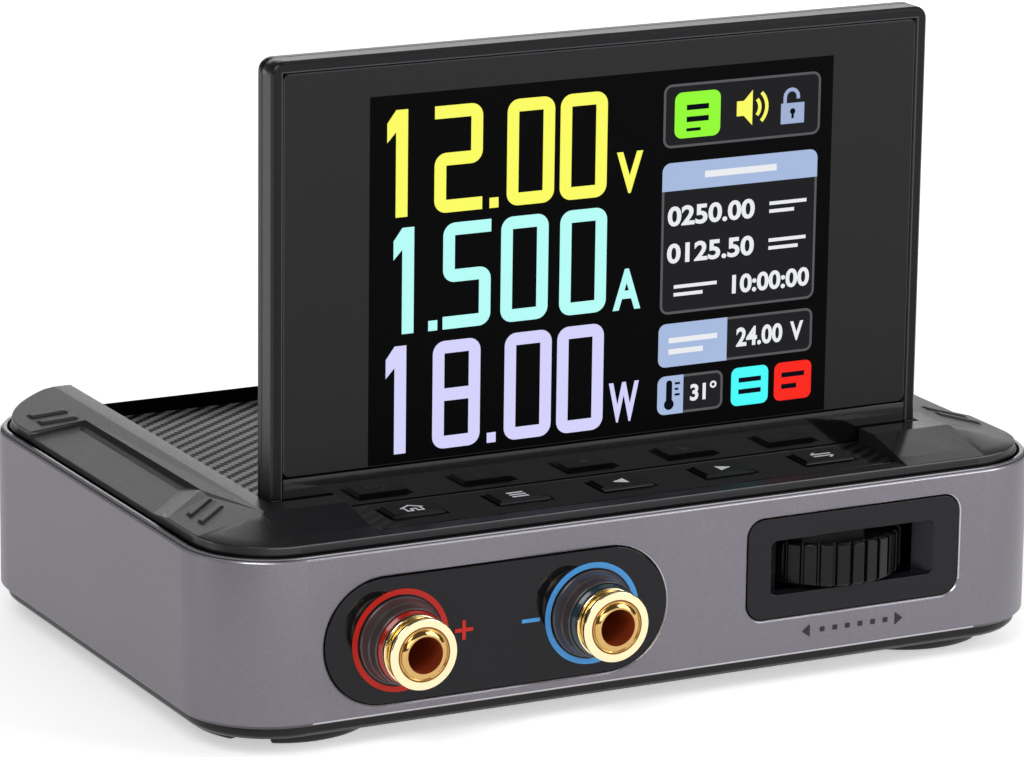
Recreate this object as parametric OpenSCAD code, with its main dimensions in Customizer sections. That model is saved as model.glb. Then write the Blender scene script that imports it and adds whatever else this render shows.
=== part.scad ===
/* [Body] */
// Width of the body, left to right
body_w = 105.4; // [104:0.2:110]
// Depth of the body, front to back, without the sockets
body_d = 70; // [69:1:76]
// Height of the metal sleeve
sleeve_h = 19.05; // [18.9:0.05:20]
// Height of the sleeve's lower edge over the table
sleeve_lift = 3.6; // [3.5:0.1:4.2]
// Radius of the body's upright corners
corner_r = 10.2; // [9:0.2:10.6]
// Wall of the metal sleeve
sleeve_wall = 0.9; // [0.8:0.05:1]
// Bright chamfer on the sleeve's outer edges
sleeve_chamfer = 0.45; // [0.2:0.05:0.5]
// Chamfer round the openings in the sleeve
mouth_chamfer = 0.2; // [0.1:0.05:0.3]

/* [Top cover] */
// Rise of the side rails over the sleeve
rail_rise = 2.67; // [2.6:0.05:3]
// Rise of the key deck and of the cover's outer edge over the sleeve
deck_rise = 0.95; // [0.85:0.05:1.1]
// Inset of the cover's visible edge from the sleeve's outer face
rim_inset = 1.45; // [1.4:0.05:1.8]
// Width of the level band on top of each rail
rail_flat = 2.14; // [2:0.1:2.6]
// Width of the gloss strip that the keys stand in
strip_w = 66; // [65:1:70]
// Thickness of the gloss strip
strip_t = 1; // [0.9:0.05:1.1]
// Width of the shallow pocket in each rail's outer slope
pocket_w = 6.1; // [5.5:0.1:6.4]
// Depth of the pockets
pocket_depth = 0.5; // [0.4:0.05:0.6]
// Height of the short grip ribs beside the pockets
grip_h = 0.25; // [0.15:0.05:0.35]

/* [Screen] */
// Width of the folding screen
screen_w = 81.6; // [80:0.2:82]
// Height of the screen from the rounded foot to the top
screen_h = 52.2; // [50:0.2:53]
// Thickness of the screen
screen_t = 3.62; // [3.5:0.02:3.7]
// Distance from the body's front face back to the screen
screen_setback = 12.82; // [12.6:0.02:13]
// Width of the screen's side borders
border_side = 1.3; // [1.1:0.1:1.6]
// Width of the screen's top border
border_top = 1.42; // [1.1:0.02:1.6]
// Radius of the screen's upper corners
screen_corner_r = 1.5; // [1:0.1:2]
// Height of the gloss chin and the rounded foot under the glass
chin_h = 6.19; // [5.8:0.01:7]
// Unlit margin of the glass beside the display
lcd_beside = 10.5; // [9:0.1:13]
// Unlit margin of the glass over the display
lcd_over = 3.2; // [2.6:0.1:5]
// Radius of the hinge pins
hinge_pin_r = 0.8; // [0.7:0.05:0.9]

/* [Keys] */
// Distance between the centres of neighbouring keys
key_pitch = 12.96; // [12.6:0.02:13.2]
// Width of a key's top
key_w = 5.78; // [5.4:0.02:6]
// Depth of a key's top, front to back
key_d = 3.4; // [3:0.1:3.6]
// Rise of the keys over the deck
key_rise = 0.38; // [0.3:0.02:0.5]
// Travel of a key
key_travel = 0.4; // [0.3:0.05:0.4]

/* [Output sockets] */
// Reach of the sockets in front of the body
socket_reach = 6; // [5.6:0.1:6.6]
// Bore of the sockets
socket_bore = 4.1; // [4:0.02:4.14]
// Diameter of the sockets' front flange
flange_dia = 8; // [7.8:0.1:8.4]
// Depth of the bore behind the socket's nose
socket_depth = 22.5; // [20:0.5:23]
// Distance between the two sockets
socket_pitch = 23.4; // [22.8:0.1:24]
// Position of the positive socket, from the body's middle
positive_x = -31.35; // [-32:0.05:-31]
// Height of the sockets' axis over the table
socket_z = 12; // [11.8:0.1:12.4]
// Width of the panel around the sockets
panel_w = 41.6; // [41:0.1:42]
// Height of the panel around the sockets
panel_h = 14.2; // [13.8:0.1:14.4]
// Outer diameter of the coloured rings
ring_dia = 11.6; // [11.4:0.1:12.2]
// Width of the coloured rings
ring_w = 0.63; // [0.5:0.01:0.7]

/* [Thumb wheel] */
// Radius of the wheel
wheel_r = 9.7; // [9.6:0.05:10.1]
// Height of the wheel
wheel_h = 5.1; // [4.9:0.1:5.3]
// Number of teeth round the wheel
wheel_teeth = 32; // [30:1:36]
// Width of the grooves between the teeth
groove_w = 0.5; // [0.3:0.02:0.6]
// Depth of the grooves between the teeth
groove_depth = 0.55; // [0.4:0.05:0.7]
// Position of the wheel's axis, from the body's middle
wheel_x = 25.3; // [25:0.1:25.8]
// Height of the wheel's middle over the table
wheel_z = 13.85; // [13.8:0.05:14]
// Distance that the wheel stands out of the front face
wheel_proud = 1.3; // [1.2:0.05:1.6]
// Distance that the wheel travels when it is pressed
wheel_travel = 0.6; // [0.4:0.05:0.7]
// Width of the frame round the wheel
bezel_w = 27.4; // [27:0.1:28]
// Height of the frame round the wheel
bezel_h = 11.6; // [11.4:0.1:11.7]
// Height of the frame's middle over the table
bezel_z = 14.15; // [14.1:0.05:14.3]

/* [Hidden] */
$fn = 64;

// Clearances: beside a moving piece, beside a fixed piece, and round a pin or a screw
gap = 0.3;
seam = 0.15;
fit = 0.05;

// Levels of the body, front to back and upwards
front_y = (socket_reach - body_d) / 2;
rear_y = front_y + body_d;
mid_y = (front_y + rear_y) / 2;
floor_z = 2.2;
sleeve_top = sleeve_lift + sleeve_h;
deck_z = sleeve_top + deck_rise;
seat_z = deck_z - strip_t;
rail_z = sleeve_top + rail_rise;

// Top cover
cover_step = 0.6;
ledge_z = sleeve_top + 0.1;
cover_w = body_w - 2 * rim_inset;
cover_d = body_d - 2 * rim_inset;
cover_r = corner_r - rim_inset;
cover_front = mid_y - cover_d / 2;
cover_rear = mid_y + cover_d / 2;
inner_inset = sleeve_wall + gap;
flange_w = body_w - 2 * inner_inset;
flange_d = body_d - 2 * inner_inset;
flange_r = corner_r - inner_inset;
cover_wall = 1.6;
cover_floor = seat_z - 2.35;
rim_band = 2.2;
rear_bevel = 0.5;

// Screen and its recess
hinge_drop = 0.12;
foot_r = screen_t / 2;
hinge_z = rail_z - hinge_drop - foot_r;
screen_y = front_y + screen_setback;
hinge_y = screen_y + foot_r;
screen_back = screen_y + screen_t;
screen_bottom = hinge_z - foot_r;
screen_top = screen_bottom + screen_h;
foot_top = hinge_z + foot_r + 0.2;
frame_t = 2.48;
split_y = screen_y + frame_t;
glass_w = screen_w - 2 * border_side - 2 * seam;
glass_top = screen_top - border_top;
glass_bottom = screen_bottom + chin_h;
glass_t = 0.8;
glass_y = screen_y + 0.18;
glass_r = 0.8;
chin_bottom = hinge_z + 0.2;
chin_t = 0.5;
lcd_x = -0.45;
lcd_border = 2.2;
lcd_half = glass_w / 2 - lcd_beside + lcd_border;
lcd_t = 1.38;
frame_chamfer = 0.3;
recess_w = screen_w + 2 * gap;
slot_y = screen_y - gap;
recess_rear = rear_y - 2.8;
lip_z = sleeve_top - 0.35;
notch_z = lip_z - 0.4;
notch_w = recess_w - 2;
pad_t = 0.6;
pad_top = screen_bottom - 0.58;
tray_top = pad_top - pad_t;
tray_bottom = tray_top - 2;
tray_wall = 1.2;
rail_out = recess_w / 2 + rail_flat;
slope_run = cover_w / 2 - rail_out;
slope_fall = (rail_z - deck_z) / slope_run;
slope_angle = atan(slope_fall);
slope_len = slope_run / cos(slope_angle);
slope_top_y = cover_front + slope_run;

// Hinge
bush_r = 1.5;
bush_len = 2.7;
pin_reach = 2.7;
pin_inside = 11;

// Pockets and grips in the rails, front to back
pocket_front = front_y + 17;
pocket_rear = rear_y - 13.9;
pocket_taper = 5;
pocket_front_flare = 1.5;
pocket_rear_flare = 0.75;
pocket_rear_taper = 2.1;
pocket_steep = 0.4;
grip_w = 1.25;
grip_pitch = 3;
grip_start = 2.4;
grip_len = 3.85;
grip_edge = 0.15;
grip_root = 0.3;
grip_rear_slant = 1.95;
grip_front_slant = -2.8;
grip_rear = rear_y - 11.1;
grip_front = front_y + 18.4;

// Keys
key_y = front_y + 8.5;
key_bevel = 0.3;
key_flange = 1.2;
key_bottom = seat_z - 1.2;
strip_front = cover_front + rim_band;
strip_r = 1.2;
window_w = 4 * key_pitch + 11;
window_front = key_y - 4;
window_rear = slot_y - 1.5;
board_t = 1;
key_board_top = cover_floor - gap;
key_board_front = key_y - 5.7;
key_board_rear = slot_y - 1.6;
key_board_w = window_w + 6.6;
switch_h = 0.6;
stem_top = key_bottom - key_travel - gap;
key_screw_x = window_w / 2 + 1.65;
key_screw_r = 0.8;

// Output sockets
negative_x = positive_x + socket_pitch;
nose_y = front_y - socket_reach;
bore_r = socket_bore / 2;
flange_r_socket = flange_dia / 2;
flange_y = nose_y + 0.3;
body_r_socket = 3;
socket_end = nose_y + socket_depth + 1;
insulator_r = 4.15;
insulator_front = front_y - 3.3;
insulator_rear = front_y + 7;
collar_r = 4.95;
collar_front_r = 4.4;
collar_len = 2.9;
panel_x = (positive_x + negative_x) / 2 + 0.1;
panel_z = socket_z + 0.15;
panel_y = front_y + 0.1;
panel_back = front_y + 2.4;
panel_lip = 2;
ring_t = 0.1;
mark_off = 7.63;
mark_size = 2.2;
mark_w = 0.42;
nut_flats = 11;
nut_t = 2.5;
lug_t = 0.6;
lug_w = 3;
lug_r = 4.1;
small_nut_flats = 8.5;
small_nut_t = 2.2;

// Thumb wheel
wheel_y = front_y + wheel_r - wheel_proud;
wheel_bottom = wheel_z - wheel_h / 2;
wheel_top = wheel_bottom + wheel_h;
wheel_chamfer = 0.3;
axle_r = 1.5;
bezel_x = wheel_x + 0.15;
bezel_r = 2;
bezel_y = front_y + 0.1;
bezel_back = front_y + 2.1;
slot_w = 21.4;
slot_h = 6.35;
slot_r = 1;
ramp = 1.85;
arm_w = 8;
arm_t = 1.1;
arm_low = wheel_bottom - gap - arm_t;
arm_high = wheel_top + gap;
column_w = 10;
column_y = wheel_y + wheel_r + gap;
column_t = 1.8;
bracket_wall = 1;
switch_depth = 1.4;
switch_front = column_y + column_t + wheel_travel + gap;
bracket_y = switch_front + switch_depth;
mark_z = 6.05;
mark_t = 0.1;

// Bottom cover
skirt_inset = 0.9;
skirt_w = body_w - 2 * skirt_inset;
skirt_d = body_d - 2 * skirt_inset;
skirt_r = corner_r - skirt_inset;
base_floor_z = 4;
base_flange_z = 4.9;
base_wall = 1.2;
foot_x = body_w / 2 - 13.25;
foot_in = 13.5;
foot_radius = 10.5;
pad_r = 6.5;
pad_proud = 0.5;
pad_in = 0.5;
screw_x = body_w / 2 - 6.5;
screw_in = 6.5;
screw_r = 1.2;
head_r = 2.1;
head_h = 1.4;
head_z = 2.5;
boss_r = 3;
boss_z = 5.6;
vent_w = 1.6;
vent_len = 16;
vent_pitch = 3.6;

// Main board
board_z = 6;
board_top = board_z + 1.6;
board_w = body_w - 21;
board_front = front_y + 6.5;
board_rear = rear_y - 2.5;
board_hole_x = board_w / 2 - 4;
board_hole_y = [board_front + 16, board_rear - 4];
board_screw_r = 0.95;
post_r = 2.7;
board_mid_y = (board_front + board_rear) / 2;
inductor_size = 12.5;
inductor_h = 7;
inductor_r = 2;
can_r = 4;
can_h = 9.5;
can_places = [[-0.365, -0.02], [-0.365, 0.14], [-0.25, 0.16]];
chip_w = 6.5;
chip_d = 10;
chip_h = 2.3;
sink_x = board_w * 0.3;
sink_y = board_mid_y + 7;
sink_w = 24;
sink_d = 18;
sink_t = 1.5;
fin_count = 8;
fin_t = 1;

// Rear panel and its sockets
rear_w = 46;
rear_h = 12.6;
rear_z = 12.1;
rear_r = 2.8;
rear_face = rear_y - 0.1;
jack_x = -13;
jack_z = 13;
jack_bore_r = 2.9;
jack_collar_r = 3.9;
jack_pin_r = 1.2;
usb_x = 1.5;
usb_w = 8.94;
usb_h = 3.2;
data_x = 14.5;
data_w = 7.5;
data_h = 2.6;
usb_wall = 0.3;
usb_len = 7.4;

// A block with rounded upright corners, centred left to right and front to back
module rounded_block(w, d, h, r) {
    translate([-w / 2 + r, -d / 2, 0]) cube([w - 2 * r, d, h]);
    translate([-w / 2, -d / 2 + r, 0]) cube([w, d - 2 * r, h]);
    for (sx = [-1, 1], sy = [-1, 1])
        translate([sx * (w / 2 - r), sy * (d / 2 - r), 0]) cylinder(h = h, r = r);
}

// A cutter that follows a rounded rectangle; points are [distance inwards, height]
module edge_cutter(w, d, r, points) {
    for (s = [-1, 1]) {
        translate([-w / 2 + r, 0, 0]) rotate([90, 0, 90]) linear_extrude(w - 2 * r)
            polygon([for (p = points) [s * (d / 2 - p[0]), p[1]]]);
        translate([0, d / 2 - r, 0]) rotate([90, 0, 0]) linear_extrude(d - 2 * r)
            polygon([for (p = points) [s * (w / 2 - p[0]), p[1]]]);
    }
    for (q = [[1, 1, 0], [-1, 1, 90], [-1, -1, 180], [1, -1, 270]])
        translate([q[0] * (w / 2 - r), q[1] * (d / 2 - r), 0]) rotate(q[2])
            rotate_extrude(angle = 90) polygon([for (p = points) [r - p[0], p[1]]]);
}

// An upright plate with rounded corners that faces the front
module front_plate(x, z, y0, y1, w, h, r) {
    translate([x, y1, z]) rotate([90, 0, 0]) rounded_block(w, h, y1 - y0, r);
}

// An upright plate with full-round ends that faces the front
module front_pill(x, z, y0, y1, w, h) {
    translate([x - w / 2 + h / 2, y0, z - h / 2]) cube([w - h, y1 - y0, h]);
    for (s = [-1, 1]) rod_y(x + s * (w - h) / 2, z, y0, y1, h / 2);
}

module rod_x(x0, x1, y, z, r) {
    translate([x0, y, z]) rotate([0, 90, 0]) cylinder(h = x1 - x0, r = r);
}

module rod_y(x, z, y0, y1, r) {
    translate([x, y0, z]) rotate([-90, 0, 0]) cylinder(h = y1 - y0, r = r);
}

// A turned piece on an axis that runs front to back; points are [radius, y]
module turned_y(x, z, points) {
    translate([x, 0, z]) rotate([-90, 0, 0]) rotate_extrude() polygon(points);
}

// A hexagon nut on an axis that runs front to back
module nut_y(x, z, y0, y1, flats, r) {
    difference() {
        translate([x, y0, z]) rotate([-90, 0, 0]) cylinder(h = y1 - y0, r = flats / sqrt(3), $fn = 6);
        rod_y(x, z, y0 - 1, y1 + 1, r);
    }
}

module box(x0, x1, y0, y1, z0, z1) {
    translate([x0, y0, z0]) cube([x1 - x0, y1 - y0, z1 - z0]);
}

// Chamfers the mouth of a pill-shaped opening in a face at y
module pill_mouth(x, z, y, w, h) {
    c = mouth_chamfer;
    for (s = [-1, 1])
        translate([x + s * (w - h) / 2, y + c, z]) rotate([90, 0, 0])
            cylinder(h = 2 * c, r1 = h / 2, r2 = h / 2 + 2 * c);
    translate([x - (w - h) / 2, y, z]) rotate([90, 0, 90]) linear_extrude(w - h)
        polygon([[c, -h / 2], [c, h / 2], [-c, h / 2 + 2 * c], [-c, -h / 2 - 2 * c]]);
}

// Chamfers the mouth of an opening with rounded corners in a face at y
// turn is 0 for the front and 180 for the rear
module plate_mouth(x, z, y, w, h, r, turn) {
    c = mouth_chamfer;
    translate([x, y, z]) rotate([0, 0, turn]) rotate([90, 0, 0])
        edge_cutter(w, h, r, [[0, -c], [-c, 0], [-c, 1], [1, 1], [1, -c]]);
}

module housing_sleeve() {
    w = body_w;
    c = sleeve_chamfer;
    bezel_hole_r = bezel_r + seam;
    rear_hole_r = rear_r + seam;
    color([0.5, 0.485, 0.52]) difference() {
        translate([0, mid_y, sleeve_lift]) rounded_block(w, body_d, sleeve_h, corner_r);
        translate([0, mid_y, sleeve_lift - 1])
            rounded_block(w - 2 * sleeve_wall, body_d - 2 * sleeve_wall, sleeve_h + 2,
                corner_r - sleeve_wall);
        translate([0, mid_y, sleeve_top])
            edge_cutter(w, body_d, corner_r, [[-1, -c], [0, -c], [c, 0], [c, 1], [-1, 1]]);
        translate([0, mid_y, sleeve_lift])
            edge_cutter(w, body_d, corner_r, [[-1, c], [0, c], [c, 0], [c, -1], [-1, -1]]);
        front_pill(panel_x, panel_z, front_y - 1, front_y + 2, panel_w + 2 * seam, panel_h + 2 * seam);
        pill_mouth(panel_x, panel_z, front_y, panel_w + 2 * seam, panel_h + 2 * seam);
        front_plate(bezel_x, bezel_z, front_y - 1, front_y + 2, bezel_w + 2 * seam, bezel_h + 2 * seam,
            bezel_hole_r);
        plate_mouth(bezel_x, bezel_z, front_y, bezel_w + 2 * seam, bezel_h + 2 * seam, bezel_hole_r, 0);
        front_plate(0, rear_z, rear_y - 2, rear_y + 1, rear_w + 2 * seam, rear_h + 2 * seam, rear_hole_r);
        plate_mouth(0, rear_z, rear_y, rear_w + 2 * seam, rear_h + 2 * seam, rear_hole_r, 180);
        box(-notch_w / 2, notch_w / 2, rear_y - 2, rear_y + 1, notch_z, sleeve_top + 1);
    }
}

module foot_bulge(x, y) {
    rise = floor_z + 0.4;
    translate([x, y, 0]) rotate_extrude()
        polygon([[0, pad_proud], [foot_radius - 1.1, pad_proud], [foot_radius - 0.45, pad_proud + 0.25],
            [foot_radius - 0.1, pad_proud + 0.8], [foot_radius, rise], [0, rise]]);
}

module bottom_cover() {
    c = 0.5;
    color([0.09, 0.09, 0.1]) difference() {
        union() {
            difference() {
                union() {
                    translate([0, mid_y, floor_z])
                        rounded_block(skirt_w, skirt_d, sleeve_lift - floor_z, skirt_r);
                    translate([0, mid_y, floor_z + 0.5])
                        rounded_block(flange_w, flange_d, base_flange_z - floor_z - 0.5, flange_r);
                }
                translate([0, mid_y, base_floor_z])
                    rounded_block(flange_w - 2 * base_wall, flange_d - 2 * base_wall, 2,
                        flange_r - base_wall);
                translate([0, mid_y, floor_z])
                    edge_cutter(skirt_w, skirt_d, skirt_r, [[-1, c], [0, c], [c, 0], [c, -1], [-1, -1]]);
            }
            for (x = [-foot_x, foot_x], y = [front_y + foot_in, rear_y - foot_in]) foot_bulge(x, y);
            for (x = [-board_hole_x, board_hole_x], y = board_hole_y)
                translate([x, y, base_floor_z - 0.5]) cylinder(h = board_z - base_floor_z + 0.5, r = post_r);
            for (x = [-screw_x, screw_x], y = [front_y + screw_in, rear_y - screw_in])
                translate([x, y, base_floor_z - 0.5])
                    cylinder(h = boss_z - base_floor_z + 0.5, r = boss_r + 0.4);
        }
        for (x = [-foot_x, foot_x], y = [front_y + foot_in, rear_y - foot_in])
            translate([x, y, 0]) cylinder(h = pad_proud + pad_in, r = pad_r + seam);
        for (x = [-board_hole_x, board_hole_x], y = board_hole_y)
            translate([x, y, floor_z + 0.8]) cylinder(h = board_z, r = board_screw_r + fit);
        for (x = [-screw_x, screw_x], y = [front_y + screw_in, rear_y - screw_in]) {
            translate([x, y, 0]) cylinder(h = head_z + head_h, r = head_r + gap);
            translate([x, y, 0]) cylinder(h = boss_z + 1, r = screw_r + seam);
        }
        for (x = [-1, 1], i = [-3:3])
            translate([x * 19 + i * vent_pitch, mid_y - vent_len / 2, 0]) {
                box(-vent_w / 2, vent_w / 2, 0, vent_len, 0, base_floor_z + 1);
                for (y = [0, vent_len]) translate([0, y, 0]) cylinder(h = base_floor_z + 1, r = vent_w / 2);
            }
    }
}

module rubber_feet() {
    color([0.13, 0.13, 0.14])
        for (x = [-foot_x, foot_x], y = [front_y + foot_in, rear_y - foot_in])
            translate([x, y, 0]) rotate_extrude()
                polygon([[0, 0], [pad_r - 0.3, 0], [pad_r, 0.3], [pad_r, pad_proud + pad_in],
                    [0, pad_proud + pad_in]]);
}

// A pan head screw that points up, with a cross slot in its head
module screw_up(r, head_radius, head, length) {
    difference() {
        union() {
            cylinder(h = head, r = head_radius);
            translate([0, 0, head - 0.1]) cylinder(h = length + 0.1, r = r);
        }
        for (a = [0, 90]) rotate(a)
            box(-head_radius * 0.6, head_radius * 0.6, -head_radius * 0.12, head_radius * 0.12, -1,
                head * 0.5);
    }
}

module bottom_screws() {
    color([0.32, 0.32, 0.34])
        for (x = [-screw_x, screw_x], y = [front_y + screw_in, rear_y - screw_in])
            translate([x, y, head_z]) screw_up(screw_r, head_r, head_h, 9);
}

// What is cut off a front corner, so that the side slope turns into the front slope as part of a cone
module corner_cut(side) {
    fall = rail_z - sleeve_top + cover_step;
    difference() {
        box(side > 0 ? rail_out : -cover_w, side > 0 ? cover_w : -rail_out, cover_front - 1, slope_top_y,
            sleeve_top, rail_z + 1);
        translate([side * rail_out, slope_top_y, rail_z - fall])
            cylinder(h = fall, r1 = fall / slope_fall, r2 = 0);
    }
}

// Solid shape of the cover over the sleeve: side slopes, front slope, conical corners and level rails
module cover_shape() {
    difference() {
        cover_block();
        for (side = [-1, 1]) corner_cut(side);
    }
}

module cover_block() {
    low = sleeve_top - cover_step;
    far = 2;
    intersection() {
        translate([0, mid_y, low]) rounded_block(cover_w, cover_d, rail_rise + cover_step, cover_r);
        translate([0, rear_y, 0]) rotate([90, 0, 0]) linear_extrude(body_d)
            polygon([[-cover_w / 2 - far, low - 1], [-cover_w / 2 - far, deck_z - far * slope_fall],
                [-rail_out, rail_z], [rail_out, rail_z],
                [cover_w / 2 + far, deck_z - far * slope_fall], [cover_w / 2 + far, low - 1]]);
        translate([-body_w / 2, 0, 0]) rotate([90, 0, 90]) linear_extrude(body_w)
            polygon([[cover_front - far, low - 1], [cover_front - far, deck_z - far * slope_fall],
                [slope_top_y, rail_z], [cover_rear - rear_bevel, rail_z],
                [cover_rear + far, rail_z - rear_bevel - far], [cover_rear + far, low - 1]]);
    }
}

// Places cutters on the outer slope of a rail: x runs down the slope and z out of it
module on_slope(side) {
    mirror([side < 0 ? 1 : 0, 0, 0]) translate([rail_out, 0, rail_z]) rotate([0, slope_angle, 0]) children();
}

// Outline of the pocket, inset at its inner, front and rear edge
module pocket_outline(inner, front, rear) {
    top = slope_len - pocket_w + inner;
    run = pocket_w + 2 - inner;
    polygon([[top, pocket_front + pocket_taper + front],
        [top + run, pocket_front - pocket_front_flare + front * 1.4],
        [top + run, pocket_rear + pocket_rear_flare - rear],
        [top, pocket_rear - pocket_rear_taper - rear]]);
}

// The shallow pocket in a rail's slope: steep walls, then a gentle run-out, longest at the front
module rail_pocket() {
    hull() {
        translate([0, 0, 0.01]) linear_extrude(0.5) pocket_outline(0, 0, 0);
        translate([0, 0, -pocket_steep]) linear_extrude(0.1) pocket_outline(0.5, 2.3, 0.4);
        translate([0, 0, -pocket_depth]) linear_extrude(0.1) pocket_outline(1.2, 2.9, 1);
    }
}

// Cross-section of a grip rib with bevelled edges, from a to b
module grip_section(a, b) {
    e = grip_edge;
    polygon([[a, -grip_root], [b, -grip_root], [b, grip_h - e], [b - e, grip_h], [a + e, grip_h],
        [a, grip_h - e]]);
}

// A short slanted grip rib; y is its inner end and slant its shift at the outer end
module rail_grip(y, slant) {
    turn = atan(slant / grip_len);
    w = grip_w / 2 * cos(turn);
    reach = abs(slant) + grip_w;
    intersection() {
        translate([grip_start, y, 0]) rotate([0, 0, turn]) translate([-1, 0, 0]) rotate([90, 0, 90])
            linear_extrude(grip_len / cos(turn) + 2) grip_section(-w, w);
        translate([0, y + reach, 0]) rotate([90, 0, 0]) linear_extrude(2 * reach)
            grip_section(grip_start, grip_start + grip_len);
    }
}

module top_cover() {
    color([0.12, 0.12, 0.13]) difference() {
        union() {
            difference() {
                union() {
                    translate([0, mid_y, cover_floor])
                        rounded_block(flange_w, flange_d, ledge_z - cover_floor, flange_r);
                    cover_shape();
                    for (s = [-1, 1], i = [0, 1]) on_slope(s) {
                        rail_grip(grip_rear - i * grip_pitch, grip_rear_slant);
                        rail_grip(grip_front - i * grip_pitch, grip_front_slant);
                    }
                }
                translate([0, mid_y, cover_floor - 1])
                    rounded_block(flange_w - 2 * cover_wall, flange_d - 2 * cover_wall, 1.2,
                        flange_r - cover_wall);
            }
            box(-recess_w / 2 - tray_wall, recess_w / 2 + tray_wall, slot_y - tray_wall,
                recess_rear + tray_wall, tray_bottom, cover_floor + 0.5);
            for (x = [-screw_x, screw_x], y = [front_y + screw_in, rear_y - screw_in])
                translate([x, y, boss_z]) cylinder(h = cover_floor - boss_z + 0.5, r = boss_r);
        }
        // Recess for the folded screen, and the low lip behind it
        box(-recess_w / 2, recess_w / 2, slot_y, recess_rear, tray_top, rail_z + 1);
        box(-recess_w / 2, recess_w / 2, recess_rear - 0.1, rear_y + 1, lip_z, rail_z + 1);
        // Level deck and the seat of the gloss strip
        box(-strip_w / 2 - seam, strip_w / 2 + seam, front_y - 1, slot_y + 0.1, deck_z, rail_z + 1);
        strip_block(seam, slot_y + 0.1, seat_z, rail_z + 1);
        box(-window_w / 2, window_w / 2, window_front, window_rear, tray_bottom - 1, seat_z + 1);
        // Hinge bushes
        for (s = [-1, 1])
            rod_x(s < 0 ? -recess_w / 2 - bush_len - fit : recess_w / 2 - 1,
                s < 0 ? -recess_w / 2 + 1 : recess_w / 2 + bush_len + fit, hinge_y, hinge_z, bush_r + fit);
        // Screws
        for (x = [-screw_x, screw_x], y = [front_y + screw_in, rear_y - screw_in])
            translate([x, y, boss_z - 1]) cylinder(h = 9, r = screw_r + fit);
        for (s = [-1, 1])
            translate([s * key_screw_x, key_y, cover_floor - 1]) cylinder(h = 3, r = key_screw_r + fit);
        for (s = [-1, 1]) on_slope(s) rail_pocket();
    }
}

module recess_pad() {
    color([0.16, 0.16, 0.17])
        box(-recess_w / 2 + seam, recess_w / 2 - seam, slot_y + seam, recess_rear - seam, tray_top, pad_top);
}

// The gloss strip's outline with round front corners, grown by a given amount, up to y1
module strip_block(grow, y1, z0, z1) {
    w = strip_w / 2 + grow;
    r = strip_r + grow;
    y0 = strip_front - grow;
    box(-w + r, w - r, y0, y1, z0, z1);
    box(-w, w, y0 + r, y1, z0, z1);
    for (s = [-1, 1]) translate([s * (w - r), y0 + r, z0]) cylinder(h = z1 - z0, r = r);
}

module key_strip() {
    hole_w = key_w + 2 * key_bevel + 2 * gap;
    hole_d = key_d + 2 * key_bevel + 2 * gap;
    color([0.05, 0.05, 0.06]) difference() {
        strip_block(0, slot_y - fit, seat_z, deck_z);
        for (i = [-2:2])
            box(i * key_pitch - hole_w / 2, i * key_pitch + hole_w / 2, key_y - hole_d / 2,
                key_y + hole_d / 2, seat_z - 1, deck_z + 1);
    }
}

// A key: bevelled cap, stem through the strip, and side flanges that hold it in
module key_cap(i) {
    w = key_w + 2 * key_bevel;
    d = key_d + 2 * key_bevel;
    top = deck_z + key_rise;
    flange_top = seat_z - gap;
    color([0.08, 0.08, 0.09]) translate([i * key_pitch, key_y, 0]) {
        difference() {
            box(-w / 2, w / 2, -d / 2, d / 2, key_bottom, top);
            for (s = [-1, 1]) {
                translate([s * key_w / 2, 0, top]) rotate([0, s * 45, 0]) box(-2, 2, -d, d, 0, 2);
                translate([0, s * key_d / 2, top]) rotate([-s * 45, 0, 0]) box(-w, w, -2, 2, 0, 2);
            }
        }
        box(-w / 2 - key_flange, w / 2 + key_flange, -d / 2, d / 2, key_bottom, flange_top);
    }
}

module key_home() { key_cap(-2); }
module key_mode() { key_cap(-1); }
module key_up() { key_cap(0); }
module key_down() { key_cap(1); }
module key_swap() { key_cap(2); }

module key_board() {
    color([0.05, 0.28, 0.16]) difference() {
        box(-key_board_w / 2, key_board_w / 2, key_board_front, key_board_rear, key_board_top - board_t,
            key_board_top);
        for (s = [-1, 1])
            translate([s * key_screw_x, key_y, key_board_top - 2]) cylinder(h = 3, r = key_screw_r + seam);
    }
}

module key_switches() {
    color([0.75, 0.75, 0.77]) for (i = [-2:2]) translate([i * key_pitch, key_y, 0]) {
        box(-1.9, 1.9, -1.6, 1.6, key_board_top, key_board_top + switch_h);
        translate([0, 0, key_board_top + switch_h - 0.1])
            cylinder(h = stem_top - key_board_top - switch_h + 0.1, r = 0.9);
    }
}

module key_board_screws() {
    color([0.6, 0.6, 0.62]) for (s = [-1, 1])
        translate([s * key_screw_x, key_y, key_board_top - board_t - 1]) screw_up(key_screw_r, 1.5, 1, 3.1);
}

module screen_shell() {
    color([0.1, 0.1, 0.11]) difference() {
        union() {
            rod_x(-screen_w / 2, screen_w / 2, hinge_y, hinge_z, foot_r);
            box(-screen_w / 2, screen_w / 2, screen_y, screen_back, hinge_z, foot_top);
            front_plate(0, (hinge_z + screen_top) / 2, split_y, screen_back, screen_w, screen_top - hinge_z,
                screen_corner_r);
            box(-glass_w / 2, glass_w / 2, screen_y + chin_t + seam, split_y + 0.1, hinge_z,
                glass_bottom - 2 * seam);
        }
        box(-glass_w / 2 - seam, glass_w / 2 + seam, screen_y - 1, screen_y + chin_t, chin_bottom,
            foot_top + 1);
        for (s = [-1, 1])
            rod_x(s < 0 ? -screen_w / 2 - 1 : screen_w / 2 - pin_inside - seam,
                s < 0 ? -screen_w / 2 + pin_inside + seam : screen_w / 2 + 1, hinge_y, hinge_z,
                hinge_pin_r + fit);
    }
}

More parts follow.
